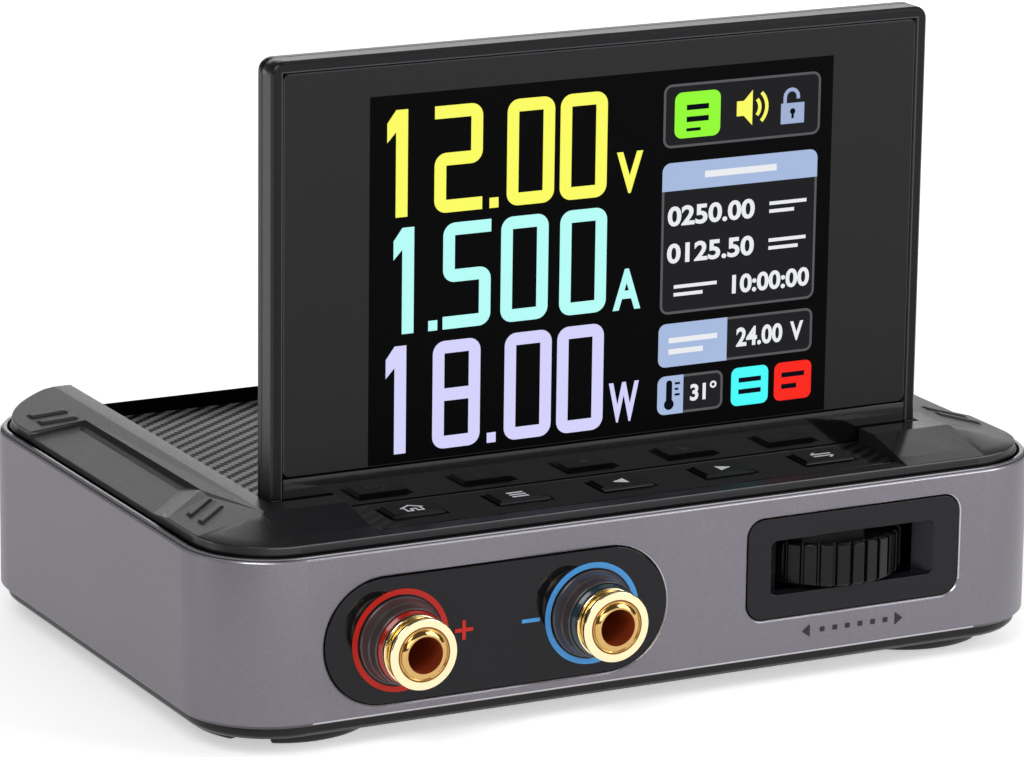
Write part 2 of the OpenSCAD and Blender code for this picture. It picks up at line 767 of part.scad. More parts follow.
module screen_frame() {
    c = frame_chamfer;
    h = screen_top - hinge_z;
    color([0.1, 0.1, 0.11]) difference() {
        front_plate(0, hinge_z + h / 2, screen_y, split_y, screen_w, h, screen_corner_r);
        box(-screen_w, screen_w, screen_y - 1, split_y + 1, 0, foot_top);
        box(-glass_w / 2 - seam, glass_w / 2 + seam, screen_y - 1, split_y + 1, foot_top - 1,
            glass_top + seam);
        translate([0, screen_y, hinge_z + h / 2]) rotate([90, 0, 0])
            edge_cutter(screen_w, h, screen_corner_r, [[-1, -c], [0, -c], [c, 0], [c, 1], [-1, 1]]);
    }
}

module screen_chin() {
    color([0.04, 0.04, 0.05])
        box(-glass_w / 2, glass_w / 2, screen_y + 0.08, screen_y + chin_t, chin_bottom + fit,
            glass_bottom - seam);
}

module screen_glass() {
    color([0.03, 0.03, 0.04])
        front_plate(0, (glass_bottom + glass_top) / 2, glass_y, glass_y + glass_t, glass_w,
            glass_top - glass_bottom, glass_r);
}

module lcd_panel() {
    color([0.2, 0.22, 0.25])
        box(lcd_x - lcd_half, lcd_x + lcd_half, glass_y + glass_t + fit, glass_y + glass_t + fit + lcd_t,
            glass_bottom + gap, glass_top - lcd_over + lcd_border);
}

module hinge_pins() {
    color([0.7, 0.7, 0.72]) for (s = [-1, 1])
        rod_x(s < 0 ? -recess_w / 2 - pin_reach : screen_w / 2 - pin_inside,
            s < 0 ? -screen_w / 2 + pin_inside : recess_w / 2 + pin_reach, hinge_y, hinge_z, hinge_pin_r);
}

module hinge_bushes() {
    color([0.6, 0.58, 0.5]) for (s = [-1, 1]) difference() {
        rod_x(s < 0 ? -recess_w / 2 - bush_len : recess_w / 2,
            s < 0 ? -recess_w / 2 : recess_w / 2 + bush_len,
            hinge_y, hinge_z, bush_r);
        rod_x(s < 0 ? -recess_w / 2 - bush_len - 1 : recess_w / 2 - 1,
            s < 0 ? -recess_w / 2 + 1 : recess_w / 2 + bush_len + 1, hinge_y, hinge_z, hinge_pin_r + fit);
    }
}

module terminal_panel() {
    color([0.13, 0.13, 0.15]) difference() {
        union() {
            front_pill(panel_x, panel_z, panel_y, panel_back, panel_w, panel_h);
            box(panel_x - panel_w / 2 - panel_lip, panel_x + panel_w / 2 + panel_lip,
                front_y + sleeve_wall + fit, panel_back, panel_z - panel_h / 2, panel_z + panel_h / 2);
        }
        for (x = [positive_x, negative_x]) rod_y(x, socket_z, panel_y - 1, panel_back + 1, insulator_r + fit);
    }
}

module socket_ring(x) {
    difference() {
        rod_y(x, socket_z, panel_y - ring_t, panel_y, ring_dia / 2);
        rod_y(x, socket_z, panel_y - 1, panel_y + 1, ring_dia / 2 - ring_w);
    }
}

module ring_positive() {
    x = positive_x + mark_off;
    color([0.8, 0.2, 0.12]) {
        socket_ring(positive_x);
        box(x - mark_size / 2, x + mark_size / 2, panel_y - ring_t, panel_y, panel_z - mark_w / 2,
            panel_z + mark_w / 2);
        box(x - mark_w / 2, x + mark_w / 2, panel_y - ring_t, panel_y, panel_z - mark_size / 2,
            panel_z + mark_size / 2);
    }
}

module ring_negative() {
    x = negative_x - mark_off + 0.06;
    color([0.33, 0.62, 0.85]) {
        socket_ring(negative_x);
        box(x - mark_size / 2, x + mark_size / 2, panel_y - ring_t, panel_y, panel_z - mark_w / 2,
            panel_z + mark_w / 2);
    }
}

module collar(x) {
    f = panel_y;
    color([0.12, 0.11, 0.12]) turned_y(x, socket_z,
        [[insulator_r + fit, f - collar_len], [collar_front_r - 0.12, f - collar_len],
        [collar_front_r, f - collar_len + 0.12], [collar_front_r + 0.1, f - 1.7], [collar_r - 0.3, f - 1.5],
        [collar_r - 0.15, f - 0.4], [collar_r, f - 0.3], [collar_r, f], [insulator_r + fit, f]]);
}

module collar_positive() { collar(positive_x); }
module collar_negative() { collar(negative_x); }

module insulator(x) {
    turned_y(x, socket_z, [[body_r_socket + fit, insulator_front], [insulator_r - 0.3, insulator_front],
        [insulator_r, insulator_front + 0.3], [insulator_r, insulator_rear],
        [body_r_socket + fit, insulator_rear]]);
}

module insulator_positive() { color([0.75, 0.13, 0.07]) insulator(positive_x); }
module insulator_negative() { color([0.1, 0.2, 0.24]) insulator(negative_x); }

// A turned 4 mm socket: raised nose, flange, groove, rear flange and long closed body
module socket(x) {
    f = flange_y;
    r = flange_r_socket;
    s = insulator_front;
    color([0.93, 0.78, 0.45]) turned_y(x, socket_z,
        [[bore_r, nose_y], [bore_r + 0.25, nose_y], [r - 1.3, f - 0.05], [r - 1.3, f + 0.15],
        [r - 1.15, f + 0.15], [r - 1.15, f], [r - 0.1, f], [r, f + 0.1], [r, f + 0.45], [r - 0.1, f + 0.55],
        [r - 0.7, f + 0.55], [r - 0.7, f + 0.9], [r - 0.45, f + 0.9], [r - 0.45, f + 1.15],
        [r - 0.7, f + 1.15], [r - 0.7, s - 0.75],
        [r - 0.15, s - 0.75], [r - 0.05, s - 0.65], [r - 0.05, s - 0.1], [r - 0.15, s],
        [body_r_socket, s], [body_r_socket, socket_end], [0, socket_end],
        [0, nose_y + socket_depth], [bore_r, nose_y + socket_depth]]);
}

module socket_positive() { socket(positive_x); }
module socket_negative() { socket(negative_x); }

module panel_nuts() {
    color([0.72, 0.7, 0.66]) for (x = [positive_x, negative_x])
        nut_y(x, socket_z, panel_back, panel_back + nut_t, nut_flats, insulator_r + fit);
}

module solder_lugs() {
    y = insulator_rear;
    color([0.78, 0.77, 0.74]) for (x = [positive_x, negative_x]) difference() {
        union() {
            rod_y(x, socket_z, y, y + lug_t, lug_r);
            box(x - lug_w / 2, x + lug_w / 2, y, y + lug_t, board_top, socket_z);
        }
        rod_y(x, socket_z, y - 1, y + 2, body_r_socket + fit);
    }
}

module socket_nuts() {
    y = insulator_rear + lug_t;
    color([0.85, 0.72, 0.42]) for (x = [positive_x, negative_x])
        nut_y(x, socket_z, y, y + small_nut_t, small_nut_flats, body_r_socket + fit);
}

module wheel_bezel() {
    far = 2;
    k = ramp / (bezel_back - front_y);
    color([0.14, 0.14, 0.16]) difference() {
        union() {
            front_plate(bezel_x, bezel_z, bezel_y, bezel_back, bezel_w, bezel_h, bezel_r);
            box(bezel_x - bezel_w / 2 - panel_lip, bezel_x + bezel_w / 2 + panel_lip,
                front_y + sleeve_wall + fit, bezel_back, panel_z - panel_h / 2, bezel_z + bezel_h / 2);
        }
        // Slot whose side walls ramp in towards the wheel, with small round corners
        intersection() {
            translate([0, 0, bezel_z - slot_h / 2]) linear_extrude(slot_h)
                polygon([[wheel_x - slot_w / 2 - far * k, front_y - far],
                    [wheel_x + slot_w / 2 + far * k, front_y - far],
                    [wheel_x + slot_w / 2 - ramp - far * k, bezel_back + far],
                    [wheel_x - slot_w / 2 + ramp + far * k, bezel_back + far]]);
            front_plate(wheel_x, bezel_z, front_y - far, bezel_back + far, slot_w, slot_h, slot_r);
        }
    }
}

// Two triangles and a row of squares under the wheel
module wheel_marks() {
    y = front_y;
    color([0.2, 0.2, 0.22]) {
        for (i = [0:5])
            translate([wheel_x + 0.07 + (i - 2.5) * 1.65, y - mark_t, mark_z]) cube([0.53, mark_t, 0.53]);
        for (s = [-1, 1]) translate([wheel_x + 0.15, y, mark_z + 0.27]) rotate([90, 0, 0])
            linear_extrude(mark_t) polygon([[s * 5.6, 0.7], [s * 6.55, 0], [s * 5.6, -0.7]]);
    }
}

module thumb_wheel() {
    n = wheel_teeth;
    pitch = 360 / n;
    half_groove = groove_w / 2 / wheel_r * 180 / PI;
    root = wheel_r - groove_depth;
    c = wheel_chamfer;
    color([0.1, 0.1, 0.11]) translate([wheel_x, wheel_y, wheel_bottom]) difference() {
        intersection() {
            linear_extrude(wheel_h) polygon([for (i = [0:n - 1], k = [0:3])
                let (a = i * pitch + [-pitch / 2 + half_groove, pitch / 2 - half_groove,
                    pitch / 2 - half_groove * 0.6, pitch / 2 + half_groove * 0.6][k])
                (k < 2 ? wheel_r : root) * [cos(a), sin(a)]]);
            rotate_extrude() polygon([[0, 0], [wheel_r - c, 0], [wheel_r + 0.1, c + 0.1],
                [wheel_r + 0.1, wheel_h - c - 0.1], [wheel_r - c, wheel_h], [0, wheel_h]]);
        }
        translate([0, 0, -1]) cylinder(h = wheel_h + 2, r = axle_r + fit);
    }
}

module wheel_axle() {
    color([0.75, 0.75, 0.77]) translate([wheel_x, wheel_y, arm_low])
        cylinder(h = arm_high + arm_t - arm_low, r = axle_r);
}

module wheel_carriage() {
    color([0.85, 0.85, 0.82]) difference() {
        union() {
            for (z = [arm_low, arm_high])
                box(wheel_x - arm_w / 2, wheel_x + arm_w / 2, wheel_y - arm_w / 2, column_y + 0.1, z,
                    z + arm_t);
            box(wheel_x - column_w / 2, wheel_x + column_w / 2, column_y, column_y + column_t, arm_low,
                arm_high + arm_t);
        }
        translate([wheel_x, wheel_y, arm_low - 1])
            cylinder(h = arm_high + arm_t - arm_low + 2, r = axle_r + fit);
    }
}

module wheel_encoder() {
    color([0.2, 0.35, 0.25]) translate([wheel_x, wheel_y, board_top + 0.5])
        cylinder(h = arm_low - board_top - 0.5, r = 3.9);
}

module wheel_bracket() {
    w = column_w / 2 + gap;
    y0 = column_y - 0.5;
    top = tray_bottom - gap;
    color([0.7, 0.71, 0.73]) {
        box(wheel_x - w - bracket_wall, wheel_x + w + bracket_wall, y0, bracket_y + bracket_wall, board_top,
            board_top + 0.8);
        box(wheel_x - w - bracket_wall, wheel_x + w + bracket_wall, bracket_y, bracket_y + bracket_wall,
            board_top, top);
        for (s = [-1, 1])
            translate([wheel_x + s * (w + bracket_wall / 2) - bracket_wall / 2, y0, board_top])
                cube([bracket_wall, bracket_y - y0 + 0.1, top - board_top]);
    }
}

module wheel_switch() {
    color([0.12, 0.12, 0.13]) {
        box(wheel_x - 3, wheel_x + 3, switch_front + 0.5, bracket_y, wheel_z - 3, wheel_z + 3);
        rod_y(wheel_x, wheel_z, switch_front, switch_front + 0.6, 1.2);
    }
}

module rear_panel() {
    color([0.13, 0.13, 0.15]) difference() {
        union() {
            front_plate(0, rear_z, rear_y - 2.4, rear_face, rear_w, rear_h, rear_r);
            box(-rear_w / 2 - panel_lip, rear_w / 2 + panel_lip, rear_y - 2.4, rear_y - sleeve_wall - fit,
                rear_z - rear_h / 2, rear_z + rear_h / 2);
        }
        rod_y(jack_x, jack_z, rear_y - 4, rear_y + 1, jack_collar_r + seam);
        front_plate(usb_x, board_top + usb_h / 2, rear_y - 4, rear_y + 1, usb_w + 2 * seam, usb_h + 2 * seam,
            1.6);
        front_plate(data_x, board_top + data_h / 2, rear_y - 4, rear_y + 1, data_w + 2 * seam,
            data_h + 2 * seam, 0.8);
    }
}

module dc_jack() {
    y = rear_face - 12;
    color([0.08, 0.08, 0.09]) difference() {
        union() {
            box(jack_x - 4.5, jack_x + 4.5, y, rear_y - 2.4 - seam, board_top, jack_z + 4.6);
            rod_y(jack_x, jack_z, y, rear_face - 0.1, jack_collar_r);
        }
        rod_y(jack_x, jack_z, rear_face - 9.5, rear_face + 1, jack_bore_r);
        rod_y(jack_x, jack_z, rear_face - 11, rear_face - 9, jack_pin_r + fit);
    }
}

module dc_jack_pin() {
    color([0.8, 0.8, 0.82]) rod_y(jack_x, jack_z, rear_face - 10.9, rear_face - 0.8, jack_pin_r);
}

// A metal socket shell with its tongue, open to the rear
module plug_shell(x, w, h, r, tongue_w) {
    z = board_top + h / 2;
    y = rear_face - usb_len;
    difference() {
        front_plate(x, z, y, rear_face - 0.1, w, h, r);
        front_plate(x, z, y + 1, rear_face + 1, w - 2 * usb_wall, h - 2 * usb_wall, r - usb_wall);
    }
    box(x - tongue_w / 2, x + tongue_w / 2, y + 0.9, rear_face - 0.9, z - 0.35, z + 0.35);
}

module usb_power_socket() { color([0.78, 0.78, 0.8]) plug_shell(usb_x, usb_w, usb_h, 1.5, 6.6); }
module usb_data_socket() { color([0.78, 0.78, 0.8]) plug_shell(data_x, data_w, data_h, 0.7, 3.6); }

module main_board() {
    color([0.05, 0.3, 0.18]) difference() {
        box(-board_w / 2, board_w / 2, board_front, board_rear, board_z, board_top);
        for (x = [-board_hole_x, board_hole_x], y = board_hole_y)
            translate([x, y, board_z - 1]) cylinder(h = 4, r = board_screw_r + seam);
    }
}

module board_screws() {
    color([0.7, 0.7, 0.72])
        for (x = [-board_hole_x, board_hole_x], y = board_hole_y)
            translate([x, y, board_top + 1.3]) mirror([0, 0, 1])
                screw_up(board_screw_r, 1.9, 1.3, board_top - floor_z - 1);
}

module inductor() {
    color([0.2, 0.2, 0.21]) translate([-board_w * 0.16, board_mid_y - 3, board_top])
        rounded_block(inductor_size, inductor_size, inductor_h, inductor_r);
}

module capacitors() {
    color([0.2, 0.22, 0.3]) for (p = can_places)
        translate([p[0] * board_w, board_mid_y + p[1] * board_w, board_top]) cylinder(h = can_h, r = can_r);
}

module power_transistors() {
    color([0.1, 0.1, 0.11]) for (s = [-1, 1])
        box(sink_x + s * sink_w / 4 - chip_w / 2, sink_x + s * sink_w / 4 + chip_w / 2, sink_y - chip_d / 2,
            sink_y + chip_d / 2, board_top, board_top + chip_h);
}

module heat_sink() {
    base_z = board_top + chip_h;
    step = (sink_w - fin_t) / (fin_count - 1);
    color([0.65, 0.66, 0.68]) {
        box(sink_x - sink_w / 2, sink_x + sink_w / 2, sink_y - sink_d / 2, sink_y + sink_d / 2, base_z,
            base_z + sink_t);
        for (i = [0:fin_count - 1])
            translate([sink_x - sink_w / 2 + i * step, sink_y - sink_d / 2, base_z + sink_t - fit])
                cube([fin_t, sink_d, tray_bottom - 1 - base_z - sink_t + fit]);
    }
}

housing_sleeve();
bottom_cover();
rubber_feet();
bottom_screws();
top_cover();
recess_pad();
key_strip();
key_home();
key_mode();
key_up();
key_down();
key_swap();
key_board();
key_switches();
key_board_screws();
screen_shell();
screen_frame();
screen_chin();
screen_glass();
lcd_panel();
hinge_pins();
hinge_bushes();
terminal_panel();
ring_positive();
ring_negative();
collar_positive();
collar_negative();
insulator_positive();
insulator_negative();
socket_positive();
socket_negative();
panel_nuts();
solder_lugs();
socket_nuts();
wheel_bezel();
wheel_marks();
thumb_wheel();
wheel_axle();
wheel_carriage();
wheel_encoder();
wheel_bracket();
wheel_switch();
rear_panel();
dc_jack();
dc_jack_pin();
usb_power_socket();
usb_data_socket();
main_board();
board_screws();
inductor();
capacitors();
power_transistors();
heat_sink();
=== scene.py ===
"""Looks of a compact bench power supply with a fold-up colour display.

The solids come from the frame. This script gives every one of them a procedural material, adds the printed
and lit details that are too thin for the solids, and sets up the floor, the lights and the camera.
Sizes are in millimetres in the frame's axes, x to the right, y to the back and z up, unless a comment says
that they are in metres. Colours of three numbers are screen colours from 0 to 255.
"""
import math
import bpy
from mathutils import Matrix, Vector


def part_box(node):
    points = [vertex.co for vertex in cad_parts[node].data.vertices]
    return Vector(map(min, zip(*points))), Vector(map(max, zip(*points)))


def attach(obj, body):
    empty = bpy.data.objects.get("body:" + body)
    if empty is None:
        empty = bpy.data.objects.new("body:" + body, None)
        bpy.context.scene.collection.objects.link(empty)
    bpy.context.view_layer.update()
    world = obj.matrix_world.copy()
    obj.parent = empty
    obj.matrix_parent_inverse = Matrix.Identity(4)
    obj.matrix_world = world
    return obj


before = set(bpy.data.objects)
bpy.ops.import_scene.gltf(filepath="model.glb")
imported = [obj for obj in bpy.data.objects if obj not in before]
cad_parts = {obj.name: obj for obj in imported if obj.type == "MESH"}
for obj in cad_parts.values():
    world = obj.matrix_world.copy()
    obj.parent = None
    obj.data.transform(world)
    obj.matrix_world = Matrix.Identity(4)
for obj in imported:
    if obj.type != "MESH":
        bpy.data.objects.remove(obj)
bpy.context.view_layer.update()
MM = 0.001
KEYS = ("key_home", "key_mode", "key_up", "key_down", "key_swap")


def corners(node):
    """Lowest and highest corner of a solid, in millimetres."""
    low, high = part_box(node)
    return [v / MM for v in low], [v / MM for v in high]


# Colours

def linear(rgb):
    """Scene-linear colour of a screen colour given as three numbers from 0 to 255."""
    out = []
    for value in rgb:
        s = value / 255
        out.append(s / 12.92 if s <= 0.04045 else ((s + 0.055) / 1.055) ** 2.4)
    return (*out, 1.0)


def scaled(colour, factor):
    """A linear colour made lighter or darker."""
    return (*[min(1.0, c * factor) for c in colour[:3]], 1.0)


# The builder of node trees

class Nodes:
    """A short way to build a material's node tree. Masks are numbers from 0 to 1."""

    def __init__(self, name):
        self.material = bpy.data.materials.new(name)
        self.material.use_nodes = True
        self.tree = self.material.node_tree
        self.shader = self.tree.nodes["Principled BSDF"]
        self.place = self.add("ShaderNodeTexCoord").outputs["Object"]

    def add(self, kind, **values):
        """A new node with its settings."""
        node = self.tree.nodes.new(kind)
        for key, value in values.items():
            setattr(node, key, value)
        return node

    def link(self, source, target):
        """Links an output to a socket, or sets the socket where the source is a plain value."""
        if isinstance(source, (int, float, tuple)):
            target.default_value = source
        else:
            self.tree.links.new(source, target)

    def give(self, socket, source):
        """Links or sets one of the shader's own sockets."""
        self.link(source, self.shader.inputs[socket])

    def math(self, operation, a, b=0.0):
        """One step of arithmetic."""
        node = self.add("ShaderNodeMath", operation=operation)
        self.link(a, node.inputs[0])
        self.link(b, node.inputs[1])
        return node.outputs[0]

    def both(self, a, b):
        """Mask that is 1 where both masks are, or the product of two numbers."""
        return self.math("MULTIPLY", a, b)

    def either(self, a, b):
        """Mask that is 1 where one of two masks is."""
        return self.math("MAXIMUM", a, b)

    def inverse(self, mask):
        """Mask that is 1 where another is 0."""
        return self.math("SUBTRACT", 1.0, mask)

    def distance(self, value, middle=0.0):
        """How far a number is from a middle, to either side."""
        if middle:
            value = self.math("SUBTRACT", value, middle)
        return self.math("ABSOLUTE", value)

    def length(self, a, b):
        """Length of the line whose two legs are given."""
        squares = [self.math("MULTIPLY", leg, leg) for leg in (a, b)]
        return self.math("SQRT", self.math("ADD", *squares))

    def axes(self):
        """The place on the object as three numbers, in millimetres."""
        node = self.add("ShaderNodeSeparateXYZ")
        self.link(self.place, node.inputs[0])
        return [self.math("MULTIPLY", output, 1 / MM) for output in node.outputs]

    def noise(self, size, detail=3.0, stretch=(1.0, 1.0, 1.0)):
        """Noise from 0 to 1 whose lumps are about size millimetres wide."""
        source = self.place
        if stretch != (1.0, 1.0, 1.0):
            scale = self.add("ShaderNodeVectorMath", operation="MULTIPLY")
            self.link(self.place, scale.inputs[0])
            scale.inputs[1].default_value = stretch
            source = scale.outputs[0]
        node = self.add("ShaderNodeTexNoise")
        self.link(source, node.inputs["Vector"])
        node.inputs["Scale"].default_value = 1 / (size * MM)
        node.inputs["Detail"].default_value = detail
        return node.outputs["Fac"]

    def blend(self, mask, a, b):
        """Colour a where the mask is 0 and colour b where it is 1."""
        node = self.add("ShaderNodeMix", data_type="RGBA")
        self.link(mask, node.inputs[0])
        self.link(a, node.inputs[6])
        self.link(b, node.inputs[7])
        return node.outputs[2]

    def mix(self, mask, a, b):
        """Number a where the mask is 0 and number b where it is 1."""
        node = self.add("ShaderNodeMix", data_type="FLOAT")
        self.link(mask, node.inputs[0])
        self.link(a, node.inputs[2])
        self.link(b, node.inputs[3])
        return node.outputs[0]

    def clouded(self, base, amount, size, detail=4.0, stretch=(1.0, 1.0, 1.0)):
        """A linear colour that drifts by an amount to either side, in clouds about size wide."""
        cloud = self.noise(size, detail, stretch)
        return self.blend(cloud, scaled(base, 1 - amount), scaled(base, 1 + amount))

    def step(self, value, edge, soft=0.02):
        """Mask that rises from 0 to 1 as a value passes an edge, over soft to either side."""
        node = self.add("ShaderNodeMapRange")
        self.link(value, node.inputs["Value"])
        node.inputs["From Min"].default_value = edge - soft
        node.inputs["From Max"].default_value = edge + soft
        return node.outputs["Result"]

    def spread(self, noise, low, high):
        """Noise laid out over a range of numbers. Most of it lies between 0.3 and 0.7."""
        node = self.add("ShaderNodeMapRange")
        self.link(noise, node.inputs["Value"])
        node.inputs["From Min"].default_value = 0.3
        node.inputs["From Max"].default_value = 0.7
        node.inputs["To Min"].default_value = low
        node.inputs["To Max"].default_value = high
        return node.outputs["Result"]

    def bump(self, height, depth):
        """Small relief: height runs from 0 to 1 and depth is in millimetres."""
        node = self.add("ShaderNodeBump")
        node.inputs["Strength"].default_value = 1.0
        node.inputs["Distance"].default_value = depth * MM
        self.link(height, node.inputs["Height"])
        self.give("Normal", node.outputs["Normal"])


# Materials of single pieces

def sleeve_metal():
    """Satin painted metal with a fine sparkle, polished along its upper edge and round its front openings.

    The polished upper edge has a darker band of painted shade across its middle and a dark rim on top.
    Painted shade darkens the lower edge.
    """
    chamfer = 0.43
    painted_band_from, painted_band_to = 0.29, 0.15
    rim_w = 0.04
    mouth_from, mouth_to = 0.05, 0.28
    corner_run = 11.0
    flake_size, flake_from = 0.12, 0.64
    paint_rough, polish_rough = (0.36, 0.44), 0.2
    base = linear((116, 112, 120))
    bare = linear((196, 193, 200))
    sparkle, foot_shade = scaled(base, 1.3), scaled(base, 0.4)
    painted_band, rim = scaled(base, 0.85), scaled(base, 0.3)
    m = Nodes("satin_sleeve")
    low, high = corners("housing_sleeve")
    x, y, z = m.axes()
    behind_face = m.step(y, low[1] + mouth_from)
    past_mouth = m.step(y, low[1] + mouth_to, soft=0.03)
    past_flat = m.step(m.distance(x), high[0] - corner_run, soft=0.1)
    mouth = m.both(behind_face, m.inverse(m.either(past_mouth, past_flat)))
    edge = m.either(m.step(z, high[2] - chamfer, soft=0.03), mouth)
    above_foot_shade = m.step(z, low[2] + chamfer, soft=0.04)
    flake = m.noise(flake_size, 1.0)
    body = m.clouded(base, 0.05, size=14.0, detail=3.0)
    body = m.blend(m.step(flake, flake_from, soft=0.06), body, sparkle)
    # Painted shade: the lower edge, up to the chamfer's height, is darkened.
    body = m.blend(above_foot_shade, foot_shade, body)
    # Painted shade: a darker band across the middle of the polished upper edge, between two bright bands.
    above_painted_band = m.step(z, high[2] - painted_band_from, soft=0.03)
    below_painted_band = m.inverse(m.step(z, high[2] - painted_band_to, soft=0.03))
    polished = m.blend(m.both(above_painted_band, below_painted_band), bare, painted_band)
    polished = m.blend(m.step(z, high[2] - rim_w), polished, rim)
    m.give("Base Color", m.blend(edge, body, polished))
    m.give("Roughness", m.mix(edge, m.spread(flake, *paint_rough), polish_rough))
    m.give("Metallic", 0.75)
    m.bump(m.both(flake, m.inverse(edge)), 0.002)
    return m.material


def cover_plastic():
    """Textured black plastic, with painted shadow near black in the gap along the sleeve, and glossy on the
    deck.

    The deck is the middle of the cover from the key strip back. A painted highlight, a thin pale band, runs
    along the top of the outer walls.
    """
    painted_band_from, painted_band_to = 0.15, 0.02
    highlight_reach = 1.0
    gap_h = 0.1
    base, pale, gap_shadow = linear((34, 34, 36)), linear((84, 84, 88)), linear((4, 4, 5))
    plain_rough, deck_rough = (0.27, 0.41), 0.15
    plain_specular, deck_specular = 0.3, 0.2
    m = Nodes("cover_black_plastic")
    sleeve_top = corners("housing_sleeve")[1][2]
    screen_side = corners("screen_shell")[1][0]
    strip_low, strip_high = corners("key_strip")
    cover_low, cover_high = corners("top_cover")
    x, y, z = m.axes()
    at_side = m.step(m.distance(x), cover_high[0] - highlight_reach, soft=0.1)
    at_front = m.inverse(m.step(y, cover_low[1] + highlight_reach, soft=0.1))
    above_painted_band = m.step(z, strip_high[2] - painted_band_from, soft=0.03)
    below_painted_band = m.inverse(m.step(z, strip_high[2] - painted_band_to))
    painted_band = m.both(m.both(above_painted_band, below_painted_band), m.either(at_side, at_front))
    body = m.clouded(base, 0.12, size=2.5)
    # Painted highlight: a pale band along the top of the outer walls.
    body = m.blend(painted_band, body, pale)
    above_gap_shadow = m.step(z, sleeve_top + gap_h, soft=gap_h)
    beside_screen = m.step(m.distance(x), screen_side - 1, soft=4.0)
    behind_strip = m.step(y, strip_low[1], soft=0.1)
    deck = m.both(m.inverse(beside_screen), behind_strip)
    fine = m.noise(0.22, 2.0)
    # Painted shadow: near black, with no shine, low in the gap along the sleeve.
    m.give("Base Color", m.blend(above_gap_shadow, gap_shadow, body))
    m.give("Roughness", m.mix(deck, m.spread(fine, *plain_rough), deck_rough))
    m.give("Specular IOR Level", m.both(above_gap_shadow, m.mix(deck, plain_specular, deck_specular)))
    m.bump(m.both(fine, m.inverse(deck)), 0.008)
    return m.material


def frame_plastic():
    """Black plastic of the screen's frame: darker and duller in front, with a painted highlight, a pale band
    round the glass.
    """
    highlight_w = 0.3
    front_depth = 0.06
    base, front_black, pale = linear((24, 24, 26)), linear((13, 13, 16)), linear((66, 66, 70))
    side_specular, front_specular = 0.3, 0.16
    m = Nodes("screen_frame_plastic")
    front_face = corners("screen_frame")[0][1]
    glass_side, _, glass_top = corners("screen_glass")[1]
    x, y, z = m.axes()
    front = m.inverse(m.step(y, front_face + front_depth, soft=0.03))
    beyond_highlight = m.either(m.step(m.distance(x), glass_side + highlight_w, soft=0.04),
                           m.step(z, glass_top + highlight_w, soft=0.04))
    body = m.clouded(base, 0.08, size=5.0)
    body = m.blend(front, body, front_black)
    fine = m.noise(0.16, 2.0)
    # Painted highlight: a pale band on the frame round the glass.
    m.give("Base Color", m.blend(beyond_highlight, pale, body))
    m.give("Specular IOR Level", m.mix(front, side_specular, front_specular))
    m.give("Roughness", m.spread(fine, 0.25, 0.35))
    m.bump(fine, 0.002)
    return m.material


def glass_face():
    """Painted glass with a pale ground edge."""
    edge_w = 0.12
    base, pale = linear((25, 25, 27)), linear((58, 58, 60))
    m = Nodes("painted_glass")
    side, _, top = corners("screen_glass")[1]
    x, _, z = m.axes()
    edge = m.either(m.step(m.distance(x), side - edge_w, soft=0.03), m.step(z, top - edge_w, soft=0.03))
    body = m.clouded(base, 0.05, size=5.0)
    fine = m.noise(1.5, 2.0)
    m.give("Base Color", m.blend(edge, body, pale))
    m.give("Roughness", m.spread(fine, 0.17, 0.23))
    m.give("Specular IOR Level", 0.15)
    m.bump(fine, 0.0005)
    return m.material


def turned_socket():
    """Bright gold plating, with painted shade: a deeper gold on the cone, a dark groove round the cone and a
    dark copper red bore.
    """
    bore_r = 2.05
    cone_r = 3.0
    groove_half = 0.09
    face, cone = linear((252, 234, 190)), linear((208, 170, 106))
    groove, bore = linear((120, 78, 30)), linear((122, 42, 8))
    bore_rough, polish = (0.46, 0.52), 0.4
    m = Nodes("plated_gold")
    x, _, z = m.axes()
    radii = []
    for node in ("socket_positive", "socket_negative"):
        low, high = corners(node)
        across = m.math("SUBTRACT", x, (low[0] + high[0]) / 2)
        over = m.math("SUBTRACT", z, (low[2] + high[2]) / 2)
        radii.append(m.length(across, over))
    radius = m.math("MINIMUM", *radii)
    outside_bore_shade = m.step(radius, bore_r + 0.04)
    outside_cone_shade = m.step(radius, cone_r, soft=0.03)
    off_groove_shade = m.step(m.distance(radius, cone_r), groove_half, soft=0.03)
    plating = m.clouded(face, 0.04, size=1.5, detail=3.0)
    # Painted shade: the cone is a deeper gold than the face.
    plating = m.blend(outside_cone_shade, cone, plating)
    # Painted shade: dark in the groove round the cone.
    plating = m.blend(off_groove_shade, groove, plating)
    fine = m.noise(0.1, 2.0)
    # Painted shade: dark copper red inside the bore, with no metal shine.
    m.give("Base Color", m.blend(outside_bore_shade, bore, plating))
    m.give("Roughness", m.math("SUBTRACT", m.spread(fine, *bore_rough), m.both(outside_bore_shade, polish)))
    m.give("Metallic", outside_bore_shade)
    m.bump(fine, 0.0008)
    return m.material


# Woven looks

def twill(m, x, y):
    """A two-by-two twill whose ribs climb to the right and back.

    Gives a mask that is 1 where the lengthwise threads lie on top, and the crown of whichever thread shows.
    """
    thread_w = 0.69
    thread_d = 0.5
    repeat = 4.0
    two_of_four = 0.4
    u = m.math("DIVIDE", x, thread_w)
    v = m.math("DIVIDE", y, thread_d)
    shift = m.math("SUBTRACT", m.math("FLOOR", u), m.math("FLOOR", v))
    place_in_repeat = m.math("FRACT", m.math("DIVIDE", shift, repeat))
    over = m.math("LESS_THAN", place_in_repeat, two_of_four)
    crowns = []
    for place in (v, u):
        off_middle = m.distance(m.math("FRACT", place), 0.5)
        crowns.append(m.inverse(m.both(m.both(off_middle, off_middle), 4.0)))
    lengthwise = m.both(over, crowns[1])
    crosswise = m.both(m.inverse(over), crowns[0])
    return over, m.math("ADD", lengthwise, crosswise)


